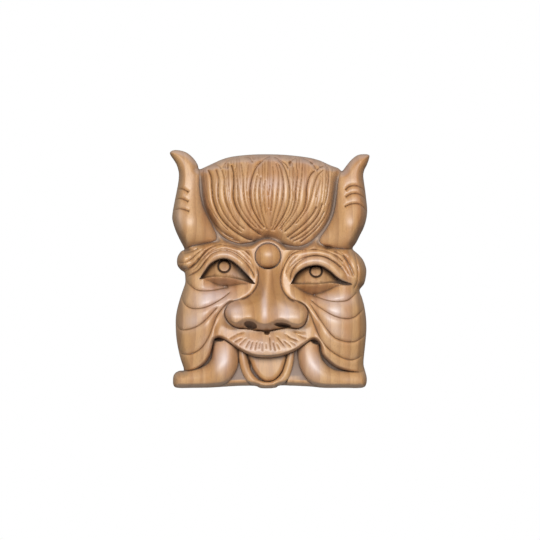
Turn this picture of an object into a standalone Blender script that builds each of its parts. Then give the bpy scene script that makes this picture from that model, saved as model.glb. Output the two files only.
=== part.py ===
"""A carved wooden wall mask: the face of a horned and tusked guardian, in one piece, with a flat back."""

import math

import bmesh
import bpy
import numpy as np

# Every length is in millimetres, with x to the right and z up from the foot of the mask. Depths are
# measured from the flat back. The carving is drawn once and then takes these overall sizes.
MASK_WIDTH = 199.0
MASK_HEIGHT = 238.0
MASK_DEPTH = 79.0
HOLE_DIAMETER = 7.5
HOLE_DEPTH = 14.0
HOLE_BELOW_TOP = 46.0
MOUNT_BELOW_HOLE = 14.0
METRES = 0.001

# Pairs of z and a length, from foot to top: half the width of the rounded block, the depth of its middle,
# the radius of its edge, the depth of the rim, of the hair's crown and of the horns, and five profiles of
# the nose.
BLOCK_HALF_WIDTHS = [(-10, 96), (20, 97), (60, 101), (100, 96), (140, 92), (180, 91), (250, 81)]
BLOCK_TOPS = [
    (-10, 38), (20, 44), (45, 49), (75, 50), (110, 47), (135, 46), (160, 44), (200, 40), (250, 28),
]
EDGE_ROUNDING = [(-10, 7), (16, 7), (24, 9), (130, 9), (215, 8), (250, 8)]
RIM_PROFILE = [(-10, 13), (100, 13), (195, 13), (222, 20), (250, 21)]
CROWN_PROFILE = [
    (138, 40), (148, 44.5), (158, 51), (170, 57.3), (182, 60.6), (192, 60.8), (202, 59.2), (212, 55.8),
    (220, 51),
    (228, 44), (240, 28),
]
HORN_LEVELS = [(130, 40), (150, 43), (165, 44), (185, 43), (205, 41), (222, 37), (240, 32)]
NOSE_LIFTS = [
    (56, 17), (66, 18), (76, 16.5), (84, 14.5), (92, 12), (103, 8.5), (115, 6), (126, 4), (140, 1),
]
NOSE_ROUNDING = [(56, 4), (66, 5), (76, 8), (90, 10), (103, 9), (140, 9)]
RIDGE_MIDDLES = [(56, -3), (80, -3), (100, -1.5), (126, 0.5), (140, 1)]
RIDGE_RISES = [
    (56, 3), (64, 8), (68, 9.5), (73, 10.5), (79, 11), (86, 11), (96, 9), (108, 6.5), (120, 3.5),
    (140, 0),
]
RIDGE_WIDTHS = [(56, 12), (66, 12), (76, 11), (84, 9.5), (91, 8.5), (100, 7), (140, 6)]
RIM_DEPTH = 13.0
HORN_LIFT = 7.0
HORN_SOFTNESS = 3.0
HORN_BACK_ROUNDING = 7.0
HORN_LOBES = [(-77, 162), (81, 162)]
HORN_TIPS_START = 198.0
HORN_TIPS_FREE = 224.0
HORN_TIPS_INNER = 66.0
HORN_TIPS_OUTER = 71.0
DITCH_DEPTH = 33.5
EYE_DEPTH = 31.0
EYE_RISE = 42.0
FACET_SLOPE = 1.9
UNDER_NOSE_DEPTH = 48.0
PUPIL_RADIUS = 5.2
BALL_X = 0.0
BALL_Z = 131.7
BALL_RADIUS = 12.2
STRANDS_MEET = 155.5
STRANDS_SINK = 16.5
STRANDS = 46
# Pits at the mouth's corners, the nostrils and the pits under the horns: centre, radii and tilt.
MOUTH_CORNERS = [((-48.5, 49.2), (5.5, 1.9), 0.0), ((46.3, 46.6), (4.8, 1.8), -0.4)]
NOSTRILS = [((-17, 64), (6.6, 4.2), -0.35), ((14.5, 64), (8.5, 2.7), -0.15)]
HORN_PITS = [((-81, 137.6), (4.6, 1.9)), ((59.5, 140.3), (3.4, 1.6))]

# How finely the front is carved, and how many triangles the finished solid keeps.
GRID_STEP = 0.8
GRID_MARGIN = 3.0
TRIANGLES = 9600

WOOD_COLOUR = (0.46, 0.27, 0.14, 1.0)
WOOD_ROUGHNESS = 0.45


# Lines of the carving as points of x and z, in millimetres from the middle of the ball and the foot.

OUTLINE = [
    (-60, 0.2), (-76, 0), (-90, 0), (-94.3, 2.5), (-94.9, 9), (-93.5, 14), (-89, 16.6), (-84, 17.8),
    (-87, 28), (-89.5, 38), (-91.5, 50), (-92.2, 62), (-92, 71), (-90.7, 79), (-88, 89), (-85, 98),
    (-82.7, 105), (-82.7, 111), (-83.5, 115.5), (-87, 118), (-90.2, 122), (-91, 127), (-89.8, 132.5),
    (-86.5, 137), (-83.5, 139), (-88, 148), (-92.5, 158), (-95.5, 168), (-95.5, 174), (-94, 183),
    (-92, 193), (-90, 203), (-89, 210), (-89, 216), (-91, 223), (-94, 228), (-97.7, 234), (-95.5, 237),
    (-90, 237.6), (-83, 236), (-78, 233), (-73, 228), (-70, 223), (-68.4, 218.6), (-62, 221),
    (-54, 224.7), (-46, 228.2), (-38, 230.6), (-28, 232.1), (-14, 233.2), (0, 233.4), (14, 233),
    (28, 231.8), (42, 229.8), (52, 227), (62, 222.5), (70, 219.6), (73.7, 216.8), (78, 222), (83, 228),
    (89, 232.5), (95, 233.5), (100, 233), (101, 230.5), (98.5, 223), (96, 218), (95, 213), (95.5, 208),
    (97, 198), (98, 190), (99, 181), (99, 175), (98, 168), (95.5, 160), (92, 153), (88, 145),
    (84.5, 139.3), (90, 134), (95, 128), (98, 120), (98, 113), (96, 104), (91.5, 98), (93.7, 91),
    (95.7, 84), (97.2, 76), (98.1, 68), (98.3, 58), (97.2, 44), (96, 33), (95.4, 24), (97, 17),
    (98.7, 10), (97.8, 3), (93, 0), (76, 0), (56, 0), (44, 1.2), (30, 2), (12, 2.4), (8, 0.3),
    (0, -0.4),
    (-8, 0), (-13, 2), (-30, 2), (-46, 1),
]

# The lower edge of the face: cheek over tusk, mouth corner, upper lip, and the same on the right.
MOUTH_LINE = [
    (-125, 15), (-105, 16), (-92, 17), (-84, 17.8), (-76, 18.3), (-69, 20.7), (-63, 25), (-58.5, 31),
    (-56, 38), (-54.2, 46), (-52, 50), (-48, 51), (-42, 48), (-33, 42), (-25, 37), (-16, 33),
    (-6, 31.3),
    (7, 31.7), (17, 34), (27, 38), (35, 43.2), (42, 48), (46, 49.2), (50, 46.5), (52.2, 42), (53.5, 35),
    (58, 29), (66, 22.5), (76, 18.7), (86, 17), (98, 16.5), (112, 15), (130, 14),
]

# Tusks and lower lip: rows of x, z, radius and depth of the middle.
LEFT_TUSK = [
    (-42, 51, 12.5, 27), (-42, 44, 13.2, 30), (-42, 35, 13.4, 33), (-43.5, 25, 13.7, 35),
    (-50, 16.5, 13.5, 35),
    (-60, 12, 11.6, 34), (-70, 10, 10.2, 32), (-82, 8.8, 9.3, 29), (-104, 8, 9, 20),
]
RIGHT_TUSK = [
    (40, 50, 10.5, 28), (40, 44, 11, 31), (40.5, 34, 11.4, 34), (44, 23, 11.8, 36), (52, 14, 11.8, 36),
    (63, 9.5, 10.4, 35), (75, 8.3, 9.5, 32), (86, 8, 9.2, 29), (108, 7.5, 9, 21),
]
LOWER_LIP = [
    (-25.5, 42, 3.8, 37), (-24.7, 32, 4.2, 37.5), (-22.5, 21, 4.4, 37.5), (-18, 12, 4.4, 37.5),
    (-10.5, 5.4, 4.2, 37.5),
    (-0.5, 3.2, 4, 37.5), (9, 5.6, 4.1, 37.5), (16.5, 13, 4.1, 37.5), (20.5, 23, 3.9, 37.5),
    (22.3, 33, 3.5, 37.5),
    (22.8, 42, 3.2, 37),
]
TONGUE = [
    (-20, 36), (-17, 26), (-14, 18.5), (-9, 11.8), (-4, 8.3), (0, 7.6), (6, 8.8), (12, 14.5), (16, 22),
    (18, 36), (0, 42),
]

LEFT_HORN = [
    (-60, 172), (-64.5, 183), (-67.5, 198), (-68, 213), (-68.6, 218), (-70, 223), (-73, 228),
    (-78, 233), (-83, 236),
    (-90, 237.6), (-95.5, 237), (-97.7, 234), (-94, 228), (-91, 223), (-89, 216), (-89, 210),
    (-90, 203), (-92, 193),
    (-94, 183), (-95.5, 174), (-95.5, 168), (-92.5, 158), (-88, 148), (-83.5, 139.5), (-76, 142),
    (-68, 143.5),
    (-58, 145.5), (-50, 147), (-50, 151), (-55, 162),
]
RIGHT_HORN = [
    (64, 172), (66.5, 183), (68, 195), (69.5, 208), (73.6, 216.8), (78, 222), (83, 228), (89, 232.5),
    (95, 233.5),
    (100, 233), (101, 230.5), (98.5, 223), (96, 218), (95, 213), (95.5, 208), (97, 198), (98, 190),
    (99, 181), (99, 175),
    (98, 168), (95.5, 160), (92, 153), (88, 145), (84.5, 139.6), (72, 139.5), (62, 140.5), (52, 143.5),
    (50, 148),
    (55, 155), (60, 163),
]
HORN_RINGS = [
    [(-93, 197), (-87, 198.3), (-82, 197), (-78, 194.5)],
    [(-95, 187), (-88, 188.5), (-83, 187.6), (-78, 185)],
    [(-97, 176.5), (-88, 178.3), (-83, 177.6), (-77, 175.4)],
    [(76, 196.5), (80, 200.3), (86, 201.3), (92, 199.5), (99, 194)],
    [(76, 189.5), (81, 192.6), (87, 193.5), (93, 191.3), (100, 185)],
    [(75, 180), (80, 182.4), (86, 183.5), (92, 182), (100, 174.5)],
]

HAIR = [
    (-67.5, 226), (-66, 208), (-65, 193), (-63.5, 181), (-60, 171), (-54, 161), (-46, 152),
    (-37, 146.7), (-27, 144),
    (-16, 145.5), (-7, 148.5), (-1, 149.8), (5, 148.5), (12, 145), (22, 142), (32, 141.7), (41, 145.5),
    (49, 152),
    (56, 161), (62, 173), (65, 186), (67, 198), (68.5, 210), (73, 226), (60, 250), (0, 256), (-60, 250),
]
# Half the width of the hair against the height over the point where its strands meet.
STRAND_SPREAD = [
    (-6, 0), (0, 0.5), (3.5, 19), (7, 28), (11, 37), (17, 48), (25, 56), (37, 61), (52, 64.5),
    (78, 66.5), (100, 67),
]
# Cuts between the strands of hair, each with its depth.
STRAND_CUTS = [
    (2.2, [(-59, 163), (-52, 156), (-44, 151), (-36, 148), (-27, 145.5)]),
    (2.2, [(-68, 196), (-63, 180), (-57, 169), (-49, 159), (-40, 152), (-33, 148.5)]),
    (1.5, [(-64, 210), (-61, 194), (-58, 183), (-52, 172), (-45, 163), (-38, 156)]),
    (
        3.8,
        [
            (-60.5, 219), (-56, 210), (-55, 198), (-53.5, 186), (-49, 174), (-42, 164), (-32, 155.5),
            (-22, 149.5), (-14, 147),
        ],
    ),
    (2, [(-52, 219), (-48.5, 208), (-49, 196), (-47.5, 184), (-42, 172), (-34, 162), (-24, 154)]),
    (2, [(-46, 219), (-43, 208), (-43, 196), (-41, 184), (-36, 173), (-30, 164), (-22, 157)]),
    (
        3.6,
        [
            (-36.5, 223.5), (-34, 214), (-33.5, 202), (-34, 190), (-31, 179), (-25, 169), (-17, 160),
            (-5, 151),
        ],
    ),
    (1.8, [(-33, 221), (-30.5, 209), (-29.5, 196), (-29, 186), (-25, 176), (-18, 166), (-10, 158)]),
    (1.6, [(-27, 226), (-24.5, 210), (-24, 194), (-22, 182), (-17, 171), (-10, 162), (-5, 157)]),
    (1.2, [(-19, 224), (-20.5, 210), (-21, 198), (-19.5, 185), (-15, 174), (-8, 163)]),
    (
        2.8,
        [
            (-3, 227.5), (-10, 221), (-14, 213), (-17, 202), (-17.5, 190), (-15, 178), (-9, 167),
            (-2, 158),
        ],
    ),
    (1.6, [(-10, 213), (-12, 202), (-13, 190), (-11, 178), (-7, 167), (-2, 158)]),
    (1.6, [(-6.5, 211), (-8.5, 198), (-8, 186), (-6, 175), (-3, 164), (-0.5, 157)]),
    (1.4, [(-2.5, 207), (-4, 196), (-3.5, 184), (-2, 173)]),
    (1.2, [(2, 202), (0.5, 190), (0.5, 178)]),
    (1.4, [(4.5, 222), (5.5, 210), (4.5, 198), (4, 186), (2.5, 174)]),
    (1.5, [(7, 225), (10, 216), (10.5, 206), (9.5, 194), (8, 182), (5, 170), (2.5, 158)]),
    (1.8, [(10, 224), (13, 215), (15, 205), (15, 194), (13.5, 183), (10, 172), (6.5, 162), (3, 156)]),
    (2.6, [(8, 228.5), (15, 221), (19.5, 208), (21, 196), (20, 184), (16, 173), (10, 163), (4.5, 156)]),
    (1.4, [(25, 222), (25.5, 212), (24.5, 200), (24.5, 188), (21.5, 177), (16, 167), (9, 158)]),
    (2.2, [(29.5, 220), (28.5, 206), (27, 195), (26.5, 185), (23, 174), (17, 165), (11, 157)]),
    (1.6, [(34, 222), (33, 208), (31, 194), (29.5, 182), (24, 171), (17, 162), (12, 156)]),
    (2.6, [(47, 217), (41, 210), (38, 199), (37.5, 189), (35, 178), (29, 169), (22, 161), (15, 154.5)]),
    (1.8, [(56, 218), (49, 211), (45, 201), (42.5, 190), (39, 179), (33, 170), (26, 162)]),
    (1.2, [(54, 212), (50, 200), (47, 189)]),
    (2.6, [(48, 181), (43, 172), (35, 163), (26, 155.5), (18, 149.5)]),
    (2.8, [(54, 185), (49, 172), (40, 161), (30, 153), (21, 148)]),
    (2.2, [(56, 177), (50, 166), (42, 157), (33, 150), (24, 146)]),
    (2.4, [(61, 185), (58, 174), (53, 165), (46, 157), (38, 150), (31, 145)]),
    (1.6, [(61, 215), (59, 202), (58, 190), (55, 180)]),
    (1.2, [(64, 212), (63.5, 198), (62, 184)]),
]
# Cuts at the tips of the locks, which turn over at the crown.
LOCK_TIPS = [
    (2.6, [(-44.5, 217.5), (-43, 222.5), (-39, 226.5), (-32, 229.5)]),
    (2.2, [(-36.5, 222), (-37, 226.5), (-42, 227.5)]),
    (2.8, [(-14, 217), (-9, 223.5), (-2, 228.5), (4, 231)]),
    (2.8, [(4, 231), (11, 227), (17.5, 222), (20.5, 216)]),
    (2.6, [(29, 230), (23.5, 226), (20.5, 222.5)]),
    (2.6, [(32, 230), (40, 226), (45, 221.5), (47.5, 216)]),
    (2.4, [(47, 215.5), (52, 219.5), (59, 222.5)]),
    (2.4, [(58, 221.5), (60, 216), (59.5, 208)]),
    (2.4, [(-64, 221), (-56, 223), (-49, 221), (-45, 216)]),
    (2.4, [(-25, 230.5), (-18, 228.5), (-14.5, 223)]),
    (1.8, [(-59, 225.5), (-52, 225), (-46, 222.5)]),
]
# The whiskers on the upper lip.
WHISKER_CUTS = [
    (1.2, [(-21.5, 57), (-28, 55), (-32, 54)]),
    (1.2, [(-30, 54.5), (-35, 51.5), (-39.5, 49)]),
    (1.4, [(-24, 52), (-30, 48.5), (-34.5, 46)]),
    (1.4, [(-20, 52), (-25, 47), (-29.5, 43)]),
    (1.4, [(-17, 50), (-20, 45), (-22.5, 40.5)]),
    (1.4, [(-14.5, 49), (-17.5, 39)]),
    (1.5, [(-10.5, 49), (-13, 38)]),
    (1.2, [(-7.5, 48), (-9, 40)]),
    (1.4, [(-5.5, 48), (-5.4, 37)]),
    (1.1, [(-2, 47), (-1.5, 40)]),
    (1.6, [(1.6, 54.5), (2, 46), (3.2, 37)]),
    (1.5, [(4.4, 49), (7.8, 37)]),
    (1.2, [(8, 47), (12, 39)]),
    (2, [(7.5, 53.5), (12, 48), (18, 41)]),
    (1.6, [(13.5, 49.5), (19, 45.5), (24, 41)]),
    (2, [(15.5, 56.5), (21, 51.5), (26, 49.3), (31.5, 47.7)]),
    (1.2, [(21, 48), (28, 43.5)]),
    (1.4, [(28, 55), (34, 51.5), (40, 49.7)]),
    (1.2, [(23, 58.2), (31, 56), (39, 56)]),
]
# Cuts that run from the ears over the brows and beside the nose.
BROW_CUTS = [
    (1.8, [(-81, 115.5), (-72, 119.5), (-66, 126.5), (-60, 134), (-52, 139.5), (-42, 142.5)]),
    (1.8, [(-80, 119), (-72, 123.5), (-66, 131), (-60, 138), (-52, 142.5)]),
    (1.5, [(-78, 112), (-70, 116), (-64, 123), (-59, 130.5)]),
    (1.5, [(-28, 138.5), (-21, 132), (-16, 124), (-13.5, 115)]),
    (1.4, [(-21, 139), (-16, 132), (-12, 124), (-10, 113)]),
    (1.5, [(13.5, 120), (17, 128), (23, 135), (31, 139)]),
    (1.4, [(17, 109), (19, 120), (24, 128), (31, 134)]),
    (2.2, [(70, 138), (76, 130.5), (82, 120), (87, 108)]),
    (1.6, [(61, 135.5), (69, 129), (76, 120), (81.5, 109.5)]),
]
CROWN_PITS = [(-40.5, 221, 2.8), (22, 223, 2.0), (43, 224.5, 2.0), (52.5, 221.5, 2.6), (-14, 229, 2)]

# Each eye: the edge of its upper lid, the ridge under the eyeball, the fold over the lid, the line that runs
# round it from the ear to the nose, the lower edge of the facet under it, and the middle of its pupil.
LEFT_EYE = {
    "lid": [
        (-67, 110), (-63, 116), (-58, 123), (-53, 126.8), (-48, 129), (-43, 129.6), (-37, 128),
        (-30, 123), (-24, 117),
        (-18, 111),
    ],
    "ridge": [
        (-68, 109), (-64, 109), (-58, 110.5), (-51, 111), (-42, 110.5), (-32, 109), (-24, 107),
        (-17, 104.5), (-12, 104),
    ],
    "fold": [
        (-84, 109), (-75, 114), (-68, 118.5), (-61, 127), (-55, 134), (-46, 137.2), (-36, 136),
        (-27, 130.5),
        (-20, 123), (-15, 115), (-13, 109),
    ],
    "brow": [
        (-86, 114.5), (-79, 118.5), (-71, 124.5), (-65, 132), (-58, 139), (-51, 142.8), (-42, 142.5),
        (-30, 140.5),
        (-21, 136), (-14, 127), (-10.5, 119), (-9.5, 111), (-10.5, 103), (-15, 96), (-21, 91),
        (-29, 87.5),
    ],
    "facet": [
        (-64, 109), (-57, 107), (-50, 103.5), (-42, 102), (-34, 103), (-26, 104.2), (-18, 104.2),
        (-12, 104),
    ],
    "pupil": (-43.3, 121.6),
}
RIGHT_EYE = {
    "lid": [
        (24, 107.5), (27, 113.5), (32, 118.3), (39, 121.7), (47, 123), (54, 121.6), (62, 116.5),
        (68, 111), (74, 107.2),
        (82, 104.8),
    ],
    "ridge": [
        (22, 104), (29, 103.7), (38, 103.5), (47, 103.5), (55, 104.2), (62, 105), (70, 104),
        (76, 102.8), (84, 103),
    ],
    "fold": [
        (22, 105), (23, 115), (28, 123.5), (36, 129.5), (46, 132), (56, 130.5), (65, 126), (74, 119),
        (82, 112),
        (88, 106),
    ],
    "brow": [
        (29, 85.5), (23, 88), (17, 94), (13.5, 101), (12.5, 109), (14, 117), (18, 126), (23, 133),
        (31, 136.5),
        (42, 138), (54, 137.5), (64, 134), (73, 127), (80, 119), (86, 110),
    ],
    "facet": [
        (22, 104), (27, 101.5), (33, 98), (40, 94.5), (46, 93.7), (53, 95.5), (60, 98.5), (68, 102),
        (76, 102.8),
    ],
    "pupil": (47.5, 117),
}

NOSE = [
    (-10, 134), (-10.5, 113), (-11, 103), (-15, 96), (-21, 91), (-30, 88.5), (-38, 85), (-42, 78),
    (-41, 71),
    (-37, 65.5), (-31, 61), (-25, 59.8), (-19, 59.5), (-13, 58.3), (-6, 57.6), (0, 57.2), (7, 58.5),
    (15, 60.2),
    (22, 60.8), (28, 60), (34, 62.5), (37.5, 69), (39, 77), (36, 83), (29, 87), (22, 89), (17, 95),
    (13.5, 103),
    (12.5, 113), (13, 134),
]
# The edge where the front of the nose turns under, and where its underside meets the lip.
NOSE_FRONT_EDGE = [
    (-42, 68), (-37, 66.5), (-32, 66), (-28, 67.5), (-23, 70), (-18, 70.5), (-13, 69), (-9, 66.5),
    (-4, 65),
    (0, 65.5), (4, 67), (8, 69), (13, 70), (18, 68.5), (23, 66), (29, 64.8), (34, 66), (40, 69),
]
NOSE_BASE = [
    (-42, 62), (-37, 61.5), (-31, 60), (-25, 59.5), (-19, 59.3), (-13, 58), (-6, 57.4), (0, 57),
    (7, 58.3), (15, 60),
    (22, 60.5), (28, 59.5), (34, 60), (40, 62),
]

CHEEK_LINES = [
    [(-83, 108), (-76, 102), (-69, 98), (-58, 97.5), (-46, 99.5), (-38, 101.5)],
    [
        (-92, 99), (-85.5, 90), (-82, 84), (-76, 80.5), (-68, 80), (-58, 82.5), (-48, 88), (-41, 93),
        (-36, 98),
    ],
    [
        (-99, 74), (-91, 65), (-88.5, 60.5), (-84, 58.7), (-76, 60), (-68, 63.5), (-60, 70),
        (-54, 76.5), (-48, 83),
    ],
    [
        (-97, 47), (-88, 37.5), (-84, 34.6), (-76, 35), (-68, 39), (-62, 45.5), (-57, 54.5),
        (-53.5, 64), (-50, 73), (-45, 80),
        (-39, 86), (-33, 88.3),
    ],
    [(43, 94), (52, 90), (62, 87.3), (72, 87), (80, 89), (90, 98)],
    [(41, 90), (47, 84), (54, 79), (64, 73.3), (74, 70.3), (82, 70.5), (89, 74), (101, 86)],
    [(40, 88), (47, 76), (54, 65), (63, 53.7), (70, 49.3), (80, 47), (89, 48.5), (104, 59)],
    [
        (26, 86.3), (32, 85), (37, 81), (41.5, 75), (45, 66), (49, 56), (53, 48), (60, 40), (69, 33.5),
        (79, 29.5),
        (87, 30), (102, 38),
    ],
]
EAR_CUTS = [
    [(-94, 134), (-84, 134.5), (-76, 136), (-68, 140)],
    [(-94, 126.5), (-84, 125), (-77, 128), (-70, 134), (-63, 140)],
    [(-90, 119.5), (-80, 119), (-74, 123), (-67, 131)],
    [(64, 137.5), (74, 132), (80, 122), (85, 110)],
    [(84.5, 138), (87, 128), (88.5, 118), (88, 106), (84, 98)],
]


# Tools for the carved front.


def smooth_curve(points, closed=False, steps=5):
    """Points on a smooth line through the given ones, whatever their number of columns."""
    knots = np.array(points, float)
    if closed:
        knots = np.vstack([knots[-1], knots, knots[0], knots[1]])
    else:
        knots = np.vstack([2 * knots[0] - knots[1], knots, 2 * knots[-1] - knots[-2]])
    t = np.linspace(0, 1, steps, endpoint=False)[:, None]
    line = []
    for before, start, end, after in zip(knots, knots[1:], knots[2:], knots[3:]):
        bend = 2 * before - 5 * start + 4 * end - after
        turn = 3 * start - before - 3 * end + after
        line.append(0.5 * (2 * start + (end - before) * t + bend * t**2 + turn * t**3))
    line = np.vstack(line)
    return line if closed else np.vstack([line, knots[-2]])


def profile(value, pairs):
    """A smooth curve read at value, through pairs of value and result."""
    line = smooth_curve(pairs)
    return np.interp(value, line[:, 0], line[:, 1])


def nearest(line, x, z, reach):
    """Distance to a line, share of the way along it, and side (1 to its left), within reach of it."""
    ends = np.asarray(line)[:, :2]
    low = ends.min(axis=0) - reach
    high = ends.max(axis=0) + reach
    close = (x > low[0]) & (x < high[0]) & (z > low[1]) & (z < high[1])
    px = x[close]
    pz = z[close]
    best = np.full(px.size, 1e9)
    along = np.zeros(px.size)
    side = np.zeros(px.size)
    for index, ((ax, az), (bx, bz)) in enumerate(zip(ends, ends[1:])):
        ex = bx - ax
        ez = bz - az
        share = np.clip(((px - ax) * ex + (pz - az) * ez) / (ex * ex + ez * ez + 1e-12), 0, 1)
        dx = px - ax - share * ex
        dz = pz - az - share * ez
        gap = dx * dx + dz * dz
        closer = gap < best
        best[closer] = gap[closer]
        along[closer] = index + share[closer]
        side[closer] = np.sign(ex * dz - ez * dx)[closer]
    found = [np.full(x.shape, 1e3), np.zeros(x.shape), np.zeros(x.shape)]
    for whole, part in zip(found, (np.sqrt(best), along / (len(ends) - 1), side)):
        whole[close] = part
    return found


def inset_of(outline, x, z, reach=40):
    """Distance to a closed outline, positive inside it."""
    ring = np.vstack([outline, outline[:1]])
    gap = nearest(ring, x, z, reach)[0]
    inside = np.zeros(x.shape, bool)
    for (ax, az), (bx, bz) in zip(ring, ring[1:]):
        if az != bz:
            crossing = (bx - ax) * (z - az) / (bz - az) + ax
            inside ^= ((az > z) != (bz > z)) & (x < crossing)
    return np.where(inside, gap, -gap)


def ease(value, start, end):
    """0 before start, 1 after end, smooth between."""
    share = np.clip((value - start) / (end - start), 0, 1)
    return share * share * (3 - 2 * share)


def mix(first, second, share):
    return first + (second - first) * share


def joined(first, second, blend):
    """The higher of two surfaces, with a fillet where they meet."""
    share = np.clip(0.5 + 0.5 * (first - second) / blend, 0, 1)
    return mix(second, first, share) + blend * share * (1 - share)


def dome(offset):
    """Height of a round top of radius 1, offset from its middle."""
    return np.sqrt(np.clip(1 - offset * offset, 0, 1))


def shoulder(inset, radius):
    """A rounded edge: 0 on the outline, 1 from radius inwards."""
    return dome(1 - np.clip(inset / radius, 0, 1))


def turned(x, z, centre, radii, tilt=0.0):
    """Offsets from a tilted oval's centre, in radii."""
    dx = x - centre[0]
    dz = z - centre[1]
    across = (dx * math.cos(tilt) + dz * math.sin(tilt)) / radii[0]
    up = (dz * math.cos(tilt) - dx * math.sin(tilt)) / radii[1]
    return across, up


def swell(x, z, centre, radii, tilt=0.0):
    """A soft swelling of height 1."""
    across, up = turned(x, z, centre, radii, tilt)
    return np.exp(-(across**2) - up**2)


def egg(x, z, centre, radii, depth, rise, tilt=0.0):
    """An oval lump that rises from depth, and 0 outside it."""
    offset = np.hypot(*turned(x, z, centre, radii, tilt))
    return np.where(offset < 1, depth + rise * dome(offset), 0)


def scoop(x, z, centre, radii, tilt=0.0):
    """A round hollow of depth 1."""
    return dome(np.clip(np.hypot(*turned(x, z, centre, radii, tilt)), 0, 1))


def limb(x, z, spine, fullness):
    """A round limb along rows of x, z, radius and depth of its middle."""
    line = smooth_curve(spine)
    gap, along, _ = nearest(line, x, z, line[:, 2].max() + 2)
    rows = np.arange(len(line))
    radius = np.interp(along * (len(line) - 1), rows, line[:, 2])
    middle = np.interp(along * (len(line) - 1), rows, line[:, 3])
    return np.where(gap < radius, middle + fullness * radius * dome(np.clip(gap / radius, 0, 1)), 0)


def gouge(x, z, points, width, fade=0.12):
    """A gouge cut: 1 on its line, falling away beside it and at its two ends."""
    line = smooth_curve(points) if len(points) > 2 else np.array(points, float)
    gap, along, _ = nearest(line, x, z, 5 * width)
    return np.exp(-gap / width) * ease(along, 0, fade) * ease(1 - along, 0, fade)


def smoothed(field, times):
    """A field on the grid, each point averaged with its neighbours this many times."""
    for _ in range(times):
        for axis in (0, 1):
            first = field.take([0], axis)
            last = field.take([-1], axis)
            padded = np.concatenate([first, field, last], axis)
            size = field.shape[axis]
            low = padded.take(range(size), axis)
            high = padded.take(range(2, size + 2), axis)
            field = 0.25 * low + 0.5 * field + 0.25 * high
    return field


def block(x, z):
    """The rounded block: brow, cheeks and jaw before any feature is cut."""
    half = profile(z, BLOCK_HALF_WIDTHS)
    top = profile(z, BLOCK_TOPS)
    across = np.clip(np.abs(x - 3) / half, 0, 1)
    height = RIM_DEPTH + (top - RIM_DEPTH) * np.sqrt(1 - across**4.6)
    height = height + 7 * swell(x, z, (-62, 70), (27, 34)) + 7 * swell(x, z, (69, 66), (27, 36))
    height = height - 7 * swell(x, z, (-45, 60), (8, 22), 0.25)
    height = height - 6 * swell(x, z, (43, 56), (8, 22), -0.25)
    return height - 3 * swell(x, z, (-42, 110), (30, 16)) - 3 * swell(x, z, (48, 106), (30, 16))


def with_nose(height, x, z):
    inset = inset_of(smooth_curve(NOSE, True, 3), x, z)
    lift = profile(z, NOSE_LIFTS)
    round_off = profile(z, NOSE_ROUNDING)
    edge = mix(shoulder(inset, round_off), ease(inset, -1, round_off + 2), ease(z, 80, 95))
    nose = height + lift * edge
    middle = profile(z, RIDGE_MIDDLES)
    ridge = profile(z, RIDGE_RISES)
    width = profile(z, RIDGE_WIDTHS)
    nose = nose + ridge * np.exp(-(np.abs((x - middle) / width) ** 2.2))
    nose = nose + 5 * swell(x, z, (-29, 73), (12, 10)) + 5 * swell(x, z, (23, 73), (13, 10))
    base_z = np.interp(x, *smooth_curve(NOSE_BASE).T)
    edge_z = np.interp(x, *smooth_curve(NOSE_FRONT_EDGE).T)
    falling = np.clip(1.15 - (z - base_z) / (edge_z - base_z), 0, 1.15) / 1.15
    turned_under = 1 - falling**1.4
    height = np.where(inset > 0, mix(UNDER_NOSE_DEPTH, nose, turned_under), height)
    return height - 2.4 * np.exp(-np.abs(inset) / 1.3) * ease(-z, -95, -78), inset


def with_upper_lip(height, x, z, over, nose_inset):
    arc = np.clip(1 - ((x + 1) / 53) ** 2, 0, 1)
    lip = 45 + 13 * arc**0.7 * ease(over, -3, 4) - 9 * arc * ease(z, 38, 62)
    share = ease(arc, 0, 0.35) * ease(-z, -66, -58) * (over > -1) * (nose_inset < 0)
    height = mix(height, np.maximum(lip, height - 4), share)
    for deep, points in WHISKER_CUTS:
        height = height - deep * gouge(x, z, points, 0.7, 0.3) * (nose_inset < 0)
    return height - 5 * scoop(x, z, (-1, 56.5), (2.8, 2.4)) * (nose_inset < -0.5)


def mouth_and_jaw(x, z):
    """What lies below the face's lower edge: mouth, tongue, lower lip, chin and tusks."""
    chin = 36 + 2 * ease(-z, -30, 0) - 0.12 * np.maximum(0, np.abs(x) - 22)
    height = mix(31, chin, ease(np.abs(x), 17, 20))
    inset = inset_of(smooth_curve(TONGUE, True), x, z)
    tongue = 34 + 7 * shoulder(inset, 5) - 1.5 * ease(z, 8, 36)
    height = np.where(inset > 0, tongue, height)
    height = np.maximum(height, limb(x, z, LOWER_LIP, 1.3))
    return np.maximum(height, np.maximum(limb(x, z, LEFT_TUSK, 1.15), limb(x, z, RIGHT_TUSK, 1.15)))


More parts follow.
